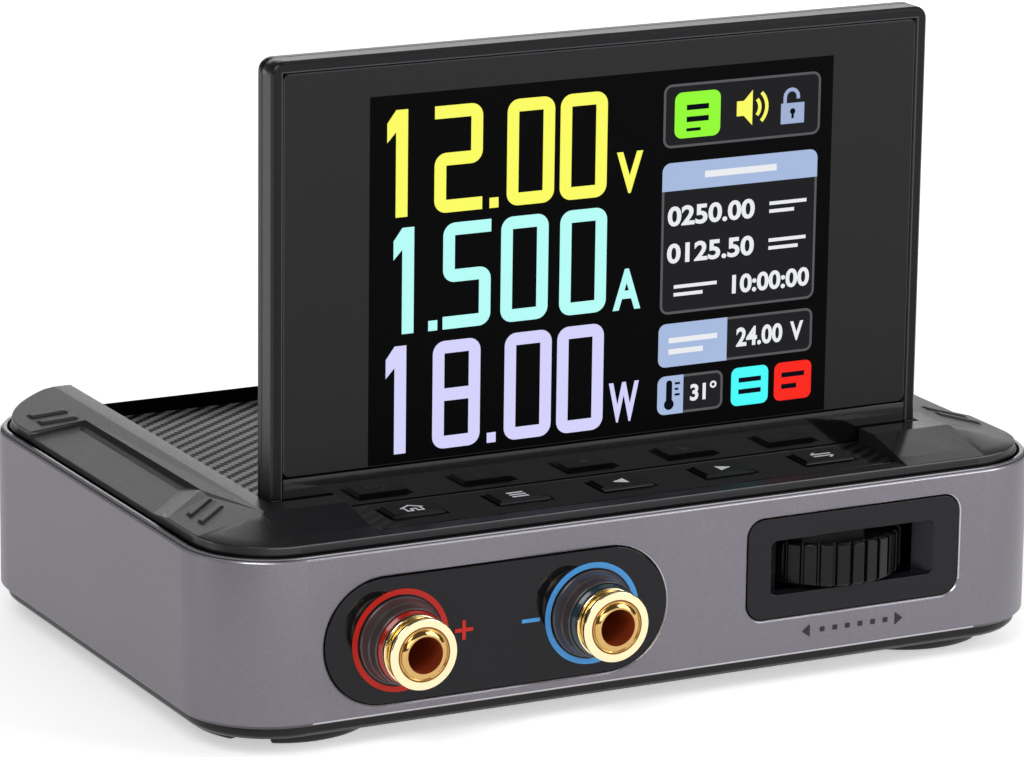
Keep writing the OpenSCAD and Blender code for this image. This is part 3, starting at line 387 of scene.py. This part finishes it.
def woven(m, over, crown, dark, pale):
    """Colour of a twill with dark and pale threads, with painted shade between them, and its height from 0 to
    1.
    """
    shade_between = 0.5
    crown_share, over_share = 0.6, 0.4
    colour = m.blend(over, dark, pale)
    colour = m.blend(m.both(m.inverse(crown), shade_between), colour, dark)
    height = m.math("ADD", m.both(crown, crown_share), m.both(over, over_share))
    return colour, height


def pad_twill():
    """Twill of the recess pad, whose pale threads shine and whose dark ones don't."""
    dark, pale = linear((10, 10, 12)), linear((108, 108, 112))
    dark_specular, pale_specular = 0.03, 0.42
    m = Nodes("pad_twill")
    x, y, _ = m.axes()
    over, crown = twill(m, x, y)
    colour, height = woven(m, over, crown, dark, pale)
    grain = m.noise(0.3, 2.0)
    m.give("Base Color", m.blend(m.both(grain, 0.3), colour, dark))
    m.give("Roughness", m.spread(grain, 0.37, 0.5))
    m.give("Specular IOR Level", m.mix(over, dark_specular, pale_specular))
    m.bump(height, 0.03)
    return m.material


def strip_twill():
    """Gloss black of the key strip, with a faint twill under the gloss at its two ends."""
    plain_half = 29.5
    plain, dark, pale = linear((9, 9, 11)), linear((14, 14, 16)), linear((40, 40, 43))
    m = Nodes("strip_twill")
    x, y, _ = m.axes()
    over, crown = twill(m, x, y)
    colour, height = woven(m, over, crown, dark, pale)
    ends = m.step(m.distance(x), plain_half)
    smear = m.noise(3.5, 4.0, stretch=(1.0, 2.5, 1.0))
    m.give("Base Color", m.blend(ends, plain, colour))
    m.give("Roughness", m.spread(smear, 0.06, 0.18))
    m.give("Specular IOR Level", 0.42)
    m.bump(m.both(height, ends), 0.004)
    return m.material


# Looks that several pieces share

def surface(name, rgb, rough, metal=0.0, coat=0.0, mottle=0.08, patch=5.0, grain=0.2, relief=0.004,
            uneven=0.05, specular=0.5, stretch=(1.0, 1.0, 1.0)):
    """A moulded, painted or metal surface: clouded colour, uneven gloss and a fine grain."""
    m = Nodes(name)
    fine = m.noise(grain, 2.0, stretch)
    m.give("Base Color", m.clouded(linear(rgb), mottle, patch, stretch=stretch))
    m.give("Roughness", m.spread(fine, rough - uneven, rough + uneven))
    m.give("Metallic", metal)
    m.give("Specular IOR Level", specular)
    m.give("Coat Weight", coat)
    m.give("Coat Roughness", 0.06)
    m.bump(fine, relief)
    return m.material


def glow(name, rgb):
    """A lit patch of the display, with its fine rows of pixels."""
    pixel = 0.18
    lit_half = 0.42
    m = Nodes(name)
    x, _, z = m.axes()
    cells = []
    for axis in (x, z):
        phase = m.math("FRACT", m.math("DIVIDE", axis, pixel))
        cells.append(m.math("LESS_THAN", m.distance(phase, 0.5), lit_half))
    base = linear(rgb)
    colour = m.blend(m.both(*cells), scaled(base, 0.93), base)
    shade = m.both(m.noise(9.0, 1.0), 0.06)
    m.give("Emission Color", m.blend(shade, colour, scaled(base, 0.8)))
    m.give("Emission Strength", 1.0)
    m.give("Base Color", (0.0, 0.0, 0.0, 1.0))
    m.give("Specular IOR Level", 0.0)
    m.give("Roughness", 0.6)
    return m.material


def circuit_board():
    """Green solder mask over a grid of paler copper tracks."""
    tracks_per_metre = 160.0
    base = linear((14, 88, 52))
    m = Nodes("green_board")
    tracks = m.add("ShaderNodeTexBrick")
    m.link(m.place, tracks.inputs["Vector"])
    tracks.inputs["Scale"].default_value = tracks_per_metre
    tracks.inputs["Mortar Size"].default_value = 0.03
    tracks.inputs["Color1"].default_value = scaled(base, 0.8)
    tracks.inputs["Color2"].default_value = scaled(base, 1.1)
    tracks.inputs["Mortar"].default_value = scaled(base, 2.2)
    m.give("Base Color", m.blend(m.noise(3.0), tracks.outputs["Color"], base))
    m.give("Roughness", m.spread(m.noise(0.5), 0.3, 0.4))
    m.bump(tracks.outputs["Fac"], 0.02)
    return m.material


# Black plastics
skirt_black = surface("skirt_black_plastic", (17, 17, 19), rough=0.34, mottle=0.1, grain=0.3, relief=0.01,
                      specular=0.25)
screen_plastic = surface("screen_edge_plastic", (24, 24, 26), rough=0.3, grain=0.16, relief=0.003,
                         specular=0.21)
gloss_black = surface("gloss_black_plastic", (9, 9, 11), rough=0.07, mottle=0.15, grain=0.4, relief=0.0008,
                      uneven=0.02)
key_black = surface("gloss_key_plastic", (12, 12, 14), rough=0.1, mottle=0.15, grain=0.3, relief=0.001,
                    uneven=0.03, specular=0.25)
lcd_dark = surface("dark_display", (2, 2, 3), rough=0.5, mottle=0.2, patch=8.0, grain=0.18, relief=0.0005,
                   specular=0.03)
pill_plastic = surface("terminal_plastic", (13, 13, 18), rough=0.04, mottle=0.06, relief=0.0002,
                       uneven=0.015, specular=0.25)
bezel_plastic = surface("bezel_plastic", (23, 22, 27), rough=0.24, mottle=0.06, relief=0.002, specular=0.2)
wheel_plastic = surface("wheel_plastic", (8, 8, 10), rough=0.24, mottle=0.12, relief=0.002, specular=0.22)
collar_plastic = surface("collar_plastic", (64, 57, 57), rough=0.24, mottle=0.05, patch=9.0, grain=0.3,
                         relief=0.0004, uneven=0.03)
rubber = surface("foot_rubber", (18, 18, 19), rough=0.7, mottle=0.15, patch=1.5, grain=0.12, relief=0.02)

# Prints
red_print = surface("red_print", (176, 32, 20), rough=0.35, mottle=0.05, grain=0.15, relief=0.003,
                    specular=0.2)
blue_print = surface("blue_print", (70, 140, 200), rough=0.35, mottle=0.05, grain=0.15, relief=0.003,
                     specular=0.2)
mark_print = surface("dark_print", (30, 29, 32), rough=0.45, mottle=0.1, grain=0.15, relief=0.003,
                     specular=0.3)
pale_print = surface("pale_print", (226, 226, 230), rough=0.5, mottle=0.06, grain=0.15, relief=0.002)

# Tinted and pale plastics
red_plastic = surface("red_insulator", (150, 20, 10), rough=0.2, coat=0.3, grain=0.25, relief=0.002)
teal_plastic = surface("dark_insulator", (24, 48, 58), rough=0.2, coat=0.3, grain=0.25, relief=0.003)
pale_plastic = surface("pale_nylon", (214, 213, 206), rough=0.42, mottle=0.05)

# Metals and bought parts
gold = turned_socket()
brass = surface("bright_brass", (205, 172, 104), rough=0.26, metal=1.0, patch=1.5, grain=0.15, relief=0.002)
steel = surface("plated_steel", (176, 176, 180), rough=0.27, metal=1.0, patch=1.5, grain=0.12, relief=0.002)
dark_steel = surface("blackened_steel", (62, 62, 66), rough=0.36, metal=0.9, mottle=0.12, patch=1.0,
                     grain=0.12)
aluminium = surface("bare_aluminium", (178, 180, 184), rough=0.34, metal=1.0, mottle=0.06, grain=0.1,
                    stretch=(0.05, 1.0, 1.0))
tin = surface("tinned_copper", (196, 194, 188), rough=0.3, metal=1.0, mottle=0.1, patch=1.0, relief=0.005)
part_black = surface("moulded_epoxy", (30, 30, 31), rough=0.48, mottle=0.12, patch=1.2, grain=0.12,
                     relief=0.008)
can_sleeve = surface("capacitor_can", (52, 56, 78), rough=0.3, metal=0.2, relief=0.003)
ferrite = surface("inductor_body", (58, 58, 60), rough=0.6, metal=0.2, mottle=0.15, patch=0.8, grain=0.12,
                  relief=0.015)
display_back = surface("display_module", (60, 64, 70), rough=0.4, metal=0.5, relief=0.003)
green_board = circuit_board()

PAINT = {
    "housing_sleeve": sleeve_metal(),
    "bottom_cover": skirt_black,
    "rubber_feet": rubber,
    "bottom_screws": dark_steel,
    "top_cover": cover_plastic(),
    "recess_pad": pad_twill(),
    "key_strip": strip_twill(),
    "key_board": green_board,
    "key_switches": steel,
    "key_board_screws": steel,
    "screen_shell": screen_plastic,
    "screen_frame": frame_plastic(),
    "screen_chin": gloss_black,
    "screen_glass": glass_face(),
    "lcd_panel": display_back,
    "hinge_pins": steel,
    "hinge_bushes": brass,
    "terminal_panel": pill_plastic,
    "ring_positive": red_print,
    "ring_negative": blue_print,
    "collar_positive": collar_plastic,
    "collar_negative": collar_plastic,
    "insulator_positive": red_plastic,
    "insulator_negative": teal_plastic,
    "socket_positive": gold,
    "socket_negative": gold,
    "panel_nuts": brass,
    "solder_lugs": tin,
    "socket_nuts": brass,
    "wheel_bezel": bezel_plastic,
    "wheel_marks": mark_print,
    "thumb_wheel": wheel_plastic,
    "wheel_axle": steel,
    "wheel_carriage": pale_plastic,
    "wheel_encoder": part_black,
    "wheel_bracket": steel,
    "wheel_switch": part_black,
    "rear_panel": bezel_plastic,
    "dc_jack": part_black,
    "dc_jack_pin": steel,
    "usb_power_socket": steel,
    "usb_data_socket": steel,
    "main_board": green_board,
    "board_screws": steel,
    "inductor": ferrite,
    "capacitors": can_sleeve,
    "power_transistors": part_black,
    "heat_sink": aluminium,
}
for key in KEYS:
    PAINT[key] = key_black
for node_name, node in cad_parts.items():
    node.data.materials.clear()
    node.data.materials.append(PAINT[node_name])

# Small rounds on the edges that catch the light
ROUNDS = {
    "housing_sleeve": 0.08,
    "top_cover": 0.12,
    "bottom_cover": 0.12,
    "terminal_panel": 0.06,
    "wheel_bezel": 0.08,
    "rear_panel": 0.06,
    "screen_shell": 0.12,
    "screen_frame": 0.1,
    "screen_chin": 0.05,
    "screen_glass": 0.06,
    "key_strip": 0.05,
    "thumb_wheel": 0.07,
    "socket_positive": 0.04,
    "socket_negative": 0.04,
    "collar_positive": 0.05,
    "collar_negative": 0.05,
}
for key in KEYS:
    ROUNDS[key] = 0.05

WELD_GAP = 0.002
SHARP_FROM = math.radians(28)


def soften(node, width):
    """Joins the facets' shared corners, then rounds the sharp edges."""
    weld = node.modifiers.new("weld", "WELD")
    weld.merge_threshold = WELD_GAP * MM
    bevel = node.modifiers.new("round", "BEVEL")
    bevel.width = width * MM
    bevel.segments = 2
    bevel.limit_method = "ANGLE"
    bevel.angle_limit = SHARP_FROM
    bevel.use_clamp_overlap = False
    bevel.loop_slide = False
    bevel.harden_normals = False


for node_name, width in ROUNDS.items():
    soften(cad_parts[node_name], width)


# Flat outlines, each a list of points

def area(outline):
    """Area inside an outline, negative where it runs clockwise."""
    total = 0.0
    for (u0, v0), (u1, v1) in zip(outline, outline[1:] + outline[:1]):
        total += (u0 * v1 - u1 * v0) / 2
    return total


def arc(u, v, r, start, end, steps):
    """Points on a circle from one angle to another, in degrees."""
    out = []
    for i in range(steps + 1):
        a = math.radians(start + (end - start) * i / steps)
        out.append((u + r * math.cos(a), v + r * math.sin(a)))
    return out


def bar(u0, u1, v0, v1):
    """A rectangle from its left, right, lower and upper side."""
    return [(u0, v0), (u1, v0), (u1, v1), (u0, v1)]


def disc(u, v, r):
    """A circle of 24 points."""
    return arc(u, v, r, 0, 345, 23)


def rounded(u0, u1, v0, v1, r):
    """A rectangle with round corners."""
    return (arc(u1 - r, v1 - r, r, 0, 90, 5) + arc(u0 + r, v1 - r, r, 90, 180, 5)
            + arc(u0 + r, v0 + r, r, 180, 270, 5) + arc(u1 - r, v0 + r, r, 270, 360, 5))


def outline_ring(outer, inner):
    """Four-sided patches between two outlines that have the same number of points."""
    n = len(outer)
    return [[outer[i], outer[(i + 1) % n], inner[(i + 1) % n], inner[i]] for i in range(n)]


def band(points, width):
    """A stroke along an open run of points, mitred at its bends."""
    sharpest = 0.3
    left, right = [], []
    for i, (u, v) in enumerate(points):
        before = points[max(i - 1, 0)]
        after = points[min(i + 1, len(points) - 1)]
        ins = Vector((u - before[0], v - before[1]))
        outs = Vector((after[0] - u, after[1] - v))
        ins = outs.copy() if ins.length == 0 else ins
        outs = ins.copy() if outs.length == 0 else outs
        ins.normalize()
        outs.normalize()
        normal = Vector((-(ins.y + outs.y), ins.x + outs.x))
        normal.normalize()
        reach = width / 2 / max(sharpest, normal.dot(Vector((-ins.y, ins.x))))
        left.append((u + normal.x * reach, v + normal.y * reach))
        right.append((u - normal.x * reach, v - normal.y * reach))
    return left + right[::-1]


def letters(words, u0, u1, v0, v1):
    """Outlines of a short number or a unit in the plain built-in face, fitted into a rectangle."""
    weight = 0.03
    curve = bpy.data.curves.new("letters", "FONT")
    curve.body = words
    curve.offset = weight
    curve.resolution_u = 4
    holder = bpy.data.objects.new("letters", curve)
    bpy.context.scene.collection.objects.link(holder)
    bpy.context.view_layer.update()
    mesh = bpy.data.meshes.new_from_object(holder.evaluated_get(bpy.context.evaluated_depsgraph_get()))
    points = [(p.co.x, p.co.y) for p in mesh.vertices]
    low = [min(p[i] for p in points) for i in (0, 1)]
    high = [max(p[i] for p in points) for i in (0, 1)]
    fit = [(u0 + (p[0] - low[0]) / (high[0] - low[0]) * (u1 - u0),
            v0 + (p[1] - low[1]) / (high[1] - low[1]) * (v1 - v0)) for p in points]
    out = [[fit[i] for i in face.vertices] for face in mesh.polygons]
    bpy.data.objects.remove(holder)
    bpy.data.meshes.remove(mesh)
    bpy.data.curves.remove(curve)
    return out


# Thin printed and lit pieces

def on_front(front):
    """Places (u, v, h) as x, z and height in front of the plane y = front."""
    return lambda u, v, h: Vector((u, front - h, v)) * MM


def on_top(level):
    """Places (u, v, h) as x, y and height over the plane z = level."""
    return lambda u, v, h: Vector((u, v, level + h)) * MM


def plates(name, outlines, place, height, material, body):
    """One thin closed piece from flat outlines that rides on a body."""
    points, faces = [], []
    for outline in outlines:
        if area(outline) < 0:
            outline = outline[::-1]
        n = len(outline)
        k = len(points)
        points += [place(u, v, height) for u, v in outline]
        points += [place(u, v, 0.0) for u, v in outline]
        faces.append(list(range(k, k + n)))
        faces.append(list(range(k + 2 * n - 1, k + n - 1, -1)))
        for i in range(n):
            j = (i + 1) % n
            faces.append([k + j, k + i, k + n + i, k + n + j])
    mesh = bpy.data.meshes.new(name)
    mesh.from_pydata(points, [], faces)
    mesh.validate()
    mesh.update()
    mesh.materials.append(material)
    piece = bpy.data.objects.new(name, mesh)
    bpy.context.scene.collection.objects.link(piece)
    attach(piece, body)


# Large digits of the display, each as the bars and corners of a seven-bar figure.
# A corner is round (r) or square (s), in the order upper left, upper right, middle left, middle right,
# lower left, lower right. Middle corners may turn up (u) or down (d).
# The level bars are top, middle and bottom. The upright bars are left and right, from the top.
FIGURES = {
    "0": ("rr", "ss", "rr", "101", "1111"),
    "2": ("sr", "du", "rs", "111", "0110"),
    "5": ("rs", "ud", "sr", "111", "1001"),
    "8": ("rr", "ss", "rr", "111", "1111"),
}
DIGIT_W = 5.85
ONE_W = 2.45
STROKE = 1.42
POINT_W = 1.1
POINT_H = 1.15


def quarter(u, v, w, towards):
    """A quarter disc that fills the square from (u, v) and is round on the side named."""
    centre = {"ul": (u + w, v), "ur": (u, v), "ll": (u + w, v + w), "lr": (u, v + w)}[towards]
    start = {"ul": 90, "ur": 0, "ll": 180, "lr": 270}[towards]
    return [centre] + arc(centre[0], centre[1], w, start, start + 90, 8)


def one(u, v, high):
    """Outlines of the digit one: its stem, and its flag on the left."""
    w = STROKE
    stem = u + ONE_W - w
    top = v + high
    tip = stem - w * 0.75
    flag = [(stem, top), (tip, top - w), (tip, top - w * 2.5), (stem, top - w * 1.7)]
    return [bar(stem, stem + w, v, top), flag]


def figure(digit, u, v, high):
    """Outlines of one of the other large digits, whose lower left corner is at (u, v)."""
    w = STROKE
    tops, middles, lows, levels, sides = FIGURES[digit]
    left, right = u, u + DIGIT_W - w
    top, middle, low = v + high - w, v + (high - w) / 2, v
    out = []
    for kind, x, y, round_side in ((tops[0], left, top, "ul"), (tops[1], right, top, "ur"),
                                   (lows[0], left, low, "ll"), (lows[1], right, low, "lr")):
        if kind == "r":
            out.append(quarter(x, y, w, round_side))
        else:
            out.append(bar(x, x + w, y, y + w))
    for kind, x, up, down in ((middles[0], left, "ll", "ul"), (middles[1], right, "lr", "ur")):
        if kind == "s":
            out.append(bar(x, x + w, middle, middle + w))
        else:
            out.append(quarter(x, middle, w, up if kind == "u" else down))
    for shown, y in zip(levels, (top, middle, low)):
        if shown == "1":
            out.append(bar(left + w, right, y, y + w))
    for shown, (x, y0, y1) in zip(sides, ((left, middle + w, top), (right, middle + w, top),
                                          (left, low + w, middle), (right, low + w, middle))):
        if shown == "1":
            out.append(bar(x, x + w, y0, y1))
    return out


# Display picture: its places are x and z on the glass, and each level lies a little in front of the last

DISPLAY = (-29.1, 28.7, 27.9, 69.05)
FIELD_T = 0.03
LAYER_T = 0.025
LINE_T = 0.03
BOXES, LABELS, INK = 0, 1, 2
STATUS_BOX = (7.0, 27.1, 60.2, 67.4)
METER_BOX = (7.0, 26.9, 41.2, 58.5)
INPUT_BOX = (6.9, 26.8, 35.1, 40.1)
HEAT_BOX = (6.9, 15.3, 29.6, 34.05)
LARGE_R = 1.0
SMALL_R = 0.9
BOX_LINE = 0.28
SYMBOL_LINE = 0.42
glass_front = corners("screen_glass")[0][1]

glow_yellow = glow("lit_yellow", (255, 255, 104))
glow_cyan = glow("lit_cyan", (186, 255, 250))
glow_lavender = glow("lit_lavender", (216, 214, 255))
glow_white = glow("lit_white", (238, 240, 244))
glow_green = glow("lit_green", (150, 255, 60))
glow_badge = glow("lit_badge_blue", (80, 255, 255))
glow_red = glow("lit_red", (255, 45, 35))
glow_header = glow("lit_header", (170, 190, 226))
glow_padlock = glow("lit_padlock", (165, 180, 215))
glow_dim = glow("lit_box", (36, 36, 38))
glow_line = glow("lit_outline", (92, 92, 96))
glow_ink = glow("lit_ink", (12, 16, 26))


def show(name, outlines, level, material, height=LAYER_T):
    """One lit piece of the picture on one of its levels."""
    place = on_front(glass_front - FIELD_T - LAYER_T * level)
    plates("display_" + name, outlines, place, height, material, "screen")


def reading(name, material, bottom, top, digits, unit, unit_box):
    """One large number with its unit. Each digit comes with the place of its left side."""
    outlines = []
    for digit, start in digits:
        if digit == ".":
            outlines.append(bar(start, start + POINT_W, bottom, bottom + POINT_H))
        elif digit == "1":
            outlines += one(start, bottom, top - bottom)
        else:
            outlines += figure(digit, start, bottom, top - bottom)
    outlines += letters(unit, *unit_box)
    show(name, outlines, BOXES, material)


def readings():
    """Volts, amps and watts at the left of the display."""
    reading("volts", glow_yellow, 55.5, 67.4,
            [("1", -27.0), ("2", -21.3), (".", -14.55), ("0", -12.45), ("0", -5.9)],
            "V", (1.2, 4.5, 55.6, 60.3))
    reading("amps", glow_cyan, 42.4, 54.3,
            [("1", -26.15), (".", -21.9), ("5", -20.15), ("0", -13.05), ("0", -5.75)],
            "A", (1.0, 4.5, 42.3, 47.0))
    reading("watts", glow_lavender, 28.9, 41.1,
            [("1", -27.0), ("8", -21.3), (".", -14.55), ("0", -12.45), ("0", -5.9)],
            "W", (0.7, 4.5, 29.4, 34.0))


def boxes():
    """The four boxes of the right column, each with a thin outline."""
    lines, fills = [], []
    for (u0, u1, v0, v1), r in ((STATUS_BOX, LARGE_R), (METER_BOX, LARGE_R),
                                (INPUT_BOX, SMALL_R), (HEAT_BOX, SMALL_R)):
        inner = rounded(u0 + BOX_LINE, u1 - BOX_LINE, v0 + BOX_LINE, v1 - BOX_LINE, r - BOX_LINE)
        lines += outline_ring(rounded(u0, u1, v0, v1, r), inner)
        fills.append(inner)
    show("boxes", fills, BOXES, glow_dim)
    show("box_lines", lines, BOXES, glow_line, height=LINE_T)


def upper_part(box, r, bottom):
    """The part of a rounded box above a level."""
    u0, u1, _, v1 = box
    corner_points = arc(u0 + r, v1 - r, r, 180, 90, 5) + arc(u1 - r, v1 - r, r, 90, 0, 5)
    return corner_points + [(u1, bottom), (u0, bottom)]


def left_part(box, r, end):
    """The part of a rounded box to the left of a place."""
    u0, _, v0, v1 = box
    return arc(u0 + r, v1 - r, r, 180, 90, 5) + [(end, v1), (end, v0)] + arc(u0 + r, v0 + r, r, 270, 180, 5)


def labels():
    """Blue heads of three boxes, and the coloured badges."""
    meter_head = upper_part(METER_BOX, LARGE_R, bottom=55.3)
    input_head = left_part(INPUT_BOX, SMALL_R, end=15.7)
    heat_head = left_part(HEAT_BOX, SMALL_R, end=10.2)
    badge_low, badge_high = HEAT_BOX[2:]
    badge_r = 0.8
    show("headers", [meter_head, input_head, heat_head], LABELS, glow_header)
    show("badge_green", [rounded(8.4, 14.2, 61.2, 66.4, SMALL_R)], LABELS, glow_green)
    show("badge_cyan", [rounded(16.4, 21.2, badge_low, badge_high, badge_r)], LABELS, glow_badge)
    show("badge_red", [rounded(22.0, 26.85, badge_low, badge_high, badge_r)], LABELS, glow_red)


def speaker():
    """A loudspeaker with two arcs of sound."""
    magnet = bar(16.3, 17.2, 63.1, 64.8)
    cone = [(17.2, 63.1), (18.3, 61.95), (18.3, 65.95), (17.2, 64.8)]
    near_wave = band(arc(17.9, 63.95, 1.35, -42, 42, 8), SYMBOL_LINE)
    far_wave = band(arc(17.9, 63.95, 2.25, -46, 46, 10), SYMBOL_LINE)
    show("speaker", [magnet, cone, near_wave, far_wave], LABELS, glow_yellow)


def padlock():
    """An open padlock with its keyhole."""
    body = bar(22.0, 25.0, 61.7, 64.05)
    bow = [(22.5, 64.05), (22.5, 64.75)] + arc(23.35, 64.75, 0.85, 180, 0, 8) + [(24.2, 64.5)]
    show("padlock", [body, band(bow, SYMBOL_LINE)], LABELS, glow_padlock)
    show("keyhole", [disc(23.5, 63.1, 0.34), bar(23.35, 23.65, 62.3, 62.9)], INK, glow_ink)


def word_bars():
    """Plain bars that stand for the words on the coloured labels and heads."""
    on_green = [bar(9.9, 12.7, 64.35, 64.95), bar(9.9, 12.7, 63.0, 63.6), bar(9.9, 11.7, 61.95, 62.3)]
    on_cyan = [bar(17.35, 20.25, 32.3, 32.85), bar(17.35, 20.25, 30.95, 31.5)]
    on_red = [bar(22.95, 25.9, 32.3, 32.85), bar(22.95, 24.9, 30.95, 31.5)]
    on_meter = [bar(12.4, 21.6, 56.5, 57.25)]
    on_input = [bar(8.2, 14.4, 37.85, 38.45), bar(8.2, 12.6, 36.55, 37.15)]
    show("label_bars", on_green + on_cyan + on_red, INK, glow_ink)
    show("header_bars", on_meter + on_input, INK, glow_white)


def thermometer():
    """A thermometer with three marks beside it."""
    stem = rounded(8.0, 8.75, 30.7, 33.55, 0.36)
    bulb = disc(8.38, 30.75, 0.62)
    marks = [bar(9.1, 9.75, 33.0, 33.25), bar(9.1, 9.55, 32.35, 32.6), bar(9.1, 9.75, 31.7, 31.95)]
    show("thermometer", [stem, bulb] + marks, INK, glow_ink)


def small_numbers():
    """White numbers of the right column, with bars for the units and words beside them."""
    left, right, unit = 7.75, 18.9, 20.8
    charge = letters("0250.00", left, right, 51.25, 53.55)
    charge += [bar(unit, 25.6, 52.55, 52.95), bar(unit, 24.0, 51.65, 52.05)]
    energy = letters("0125.50", left, right, 47.0, 49.3)
    energy += [bar(unit, 25.6, 48.3, 48.7), bar(unit, 24.6, 47.4, 47.8)]
    time = letters("10:00:00", 16.2, 26.2, 42.75, 44.95)
    time += [bar(8.7, 14.2, 44.1, 44.5), bar(8.7, 12.4, 43.2, 43.6)]
    supply = letters("24.00", 16.9, 22.9, 36.5, 38.75) + letters("V", 23.9, 25.6, 36.5, 38.75)
    heat = letters("31", 11.1, 13.1, 30.85, 32.8)
    degree = outline_ring(disc(14.05, 32.5, 0.42), disc(14.05, 32.5, 0.2))
    show("numbers", charge + energy + time + supply + heat + degree, INK, glow_white)


plates("display_field", [bar(*DISPLAY)], on_front(glass_front), FIELD_T, lcd_dark, "screen")
readings()
boxes()
labels()
speaker()
padlock()
word_bars()
thermometer()
small_numbers()


# Signs on the keys, as outlines from each key's middle

SIGN_T = 0.02
SIGN_W = 0.24


def house_sign():
    """A roof over walls with a door."""
    roof = [(-1.35, 0.1), (0.0, 1.05), (1.35, 0.1)]
    walls = [(-0.95, 0.25), (-0.95, -1.0), (-0.3, -1.0), (-0.3, -0.3), (0.3, -0.3), (0.3, -1.0), (0.95, -1.0),
             (0.95, 0.25)]
    return [band(roof, SIGN_W), band(walls, SIGN_W)]


def menu_sign():
    """Three level bars."""
    half, reach = 0.16, 1.0
    return [bar(-reach, reach, level - half, level + half) for level in (0.76, 0.0, -0.76)]


def swap_sign():
    """Two half arrows that point to opposite sides."""
    shaft = bar(-1.3, 1.3, 0.25, 0.52)
    barb = [(-1.3, 0.25), (-1.3, 0.52), (-0.75, 1.05), (-0.4, 1.05), (-0.95, 0.52)]
    turned = [[(-u, -v) for u, v in outline] for outline in (shaft, barb)]
    return [shaft, barb] + turned


def key_sign(key, outlines):
    """Prints a sign on top of a key."""
    low, high = corners(key)
    u, v = (low[0] + high[0]) / 2, (low[1] + high[1]) / 2
    moved = [[(u + p[0], v + p[1]) for p in outline] for outline in outlines]
    plates(key + "_sign", moved, on_top(high[2]), SIGN_T, pale_print, key)


left_mark = [[(-1.0, 0.0), (0.6, -0.85), (0.6, 0.85)]]
right_mark = [[(1.0, 0.0), (-0.6, 0.85), (-0.6, -0.85)]]
for key, sign in zip(KEYS, (house_sign(), menu_sign(), left_mark, right_mark, swap_sign())):
    key_sign(key, sign)


# Floor, light and camera

def floor():
    """A plain white table that glows softly, and more so towards the horizon. Its half width is in metres."""
    half = 4.0
    white, brighter = (0.93, 0.93, 0.93, 1.0), (0.95, 0.95, 0.95, 1.0)
    rise_at, rise_over = 450.0, 300.0
    glow_near, glow_rise = 0.5, 0.42
    m = Nodes("pale_floor")
    x, y, _ = m.axes()
    far = m.step(m.length(x, y), rise_at, soft=rise_over)
    m.give("Base Color", m.blend(m.noise(300.0, 2.0), white, brighter))
    m.give("Roughness", 0.9)
    m.give("Specular IOR Level", 0.0)
    m.give("Emission Color", (1.0, 1.0, 1.0, 1.0))
    m.give("Emission Strength", m.math("ADD", m.both(far, glow_rise), glow_near))
    mesh = bpy.data.meshes.new("floor")
    sheet = [(u, v, 0.0) for u, v in bar(-half, half, -half, half)]
    mesh.from_pydata(sheet, [], [(0, 1, 2, 3)])
    mesh.materials.append(m.material)
    plane = bpy.data.objects.new("floor", mesh)
    bpy.context.scene.collection.objects.link(plane)


def faint_sky():
    """White light from all sides, much weaker than the lamps."""
    world = bpy.data.worlds.new("studio")
    world.use_nodes = True
    sky = world.node_tree.nodes["Background"]
    sky.inputs["Color"].default_value = (1.0, 1.0, 1.0, 1.0)
    sky.inputs["Strength"].default_value = 0.1
    bpy.context.scene.world = world


# Rectangular lamps, turned towards a point in the body: name, place and size in metres, power in watts
AIM = (0.0, 0.0, 0.03)
LAMPS = [
    ("key_light", (-0.5, -0.55, 0.75), (0.5, 0.5), 4.0),
    ("right_light", (0.7, -0.6, 0.45), (0.5, 0.6), 4.0),
    ("front_light", (-0.2, -1.1, 0.35), (0.8, 0.4), 2.6),
    ("front_right_card", (0.5, -1.0, 0.25), (0.6, 0.4), 1.2),
    ("overhead_card", (0.49, -0.28, 0.94), (0.5, 0.5), 0.5),
    ("left_card", (-0.97, 0.26, 0.18), (0.2, 0.3), 0.8),
    ("horizon_card", (0.53, 1.03, 0.31), (1.1, 0.22), 1.6),
    ("rear_card", (0.5, 0.92, 0.65), (0.8, 0.25), 1.1),
    ("rear_top_card", (0.35, 0.7, 0.95), (0.8, 0.35), 0.6),
]


def soft_light(name, place, size, power):
    """One rectangular lamp."""
    data = bpy.data.lights.new(name, "AREA")
    data.shape = "RECTANGLE"
    data.size, data.size_y = size
    data.energy = power
    lamp = bpy.data.objects.new(name, data)
    bpy.context.scene.collection.objects.link(lamp)
    lamp.location = place
    lamp.rotation_euler = (Vector(AIM) - Vector(place)).to_track_quat("-Z", "Y").to_euler()


def camera():
    """The photograph's view: azimuth, elevation, roll, place and lens were fitted to the object's edges."""
    azimuth = math.radians(-27.534)
    elevation = math.radians(14.669)
    roll = math.radians(0.75)
    place = Vector((-277.128, -528.574, 186.348)) * MM
    back = Vector((math.sin(azimuth) * math.cos(elevation), -math.cos(azimuth) * math.cos(elevation),
                   math.sin(elevation)))
    right = (-back).cross(Vector((0, 0, 1))).normalized()
    up = right.cross(-back)
    across = right * math.cos(roll) + up * math.sin(roll)
    upward = up * math.cos(roll) - right * math.sin(roll)
    data = bpy.data.cameras.new("camera")
    data.lens = 189.11
    data.sensor_width = 36.0
    data.sensor_fit = "HORIZONTAL"
    holder = bpy.data.objects.new("camera", data)
    bpy.context.scene.collection.objects.link(holder)
    holder.matrix_world = Matrix.Translation(place) @ Matrix((across, upward, back)).transposed().to_4x4()
    bpy.context.scene.camera = holder


floor()
faint_sky()
for lamp in LAMPS:
    soft_light(*lamp)
camera()
bpy.context.scene.view_settings.view_transform = "Standard"
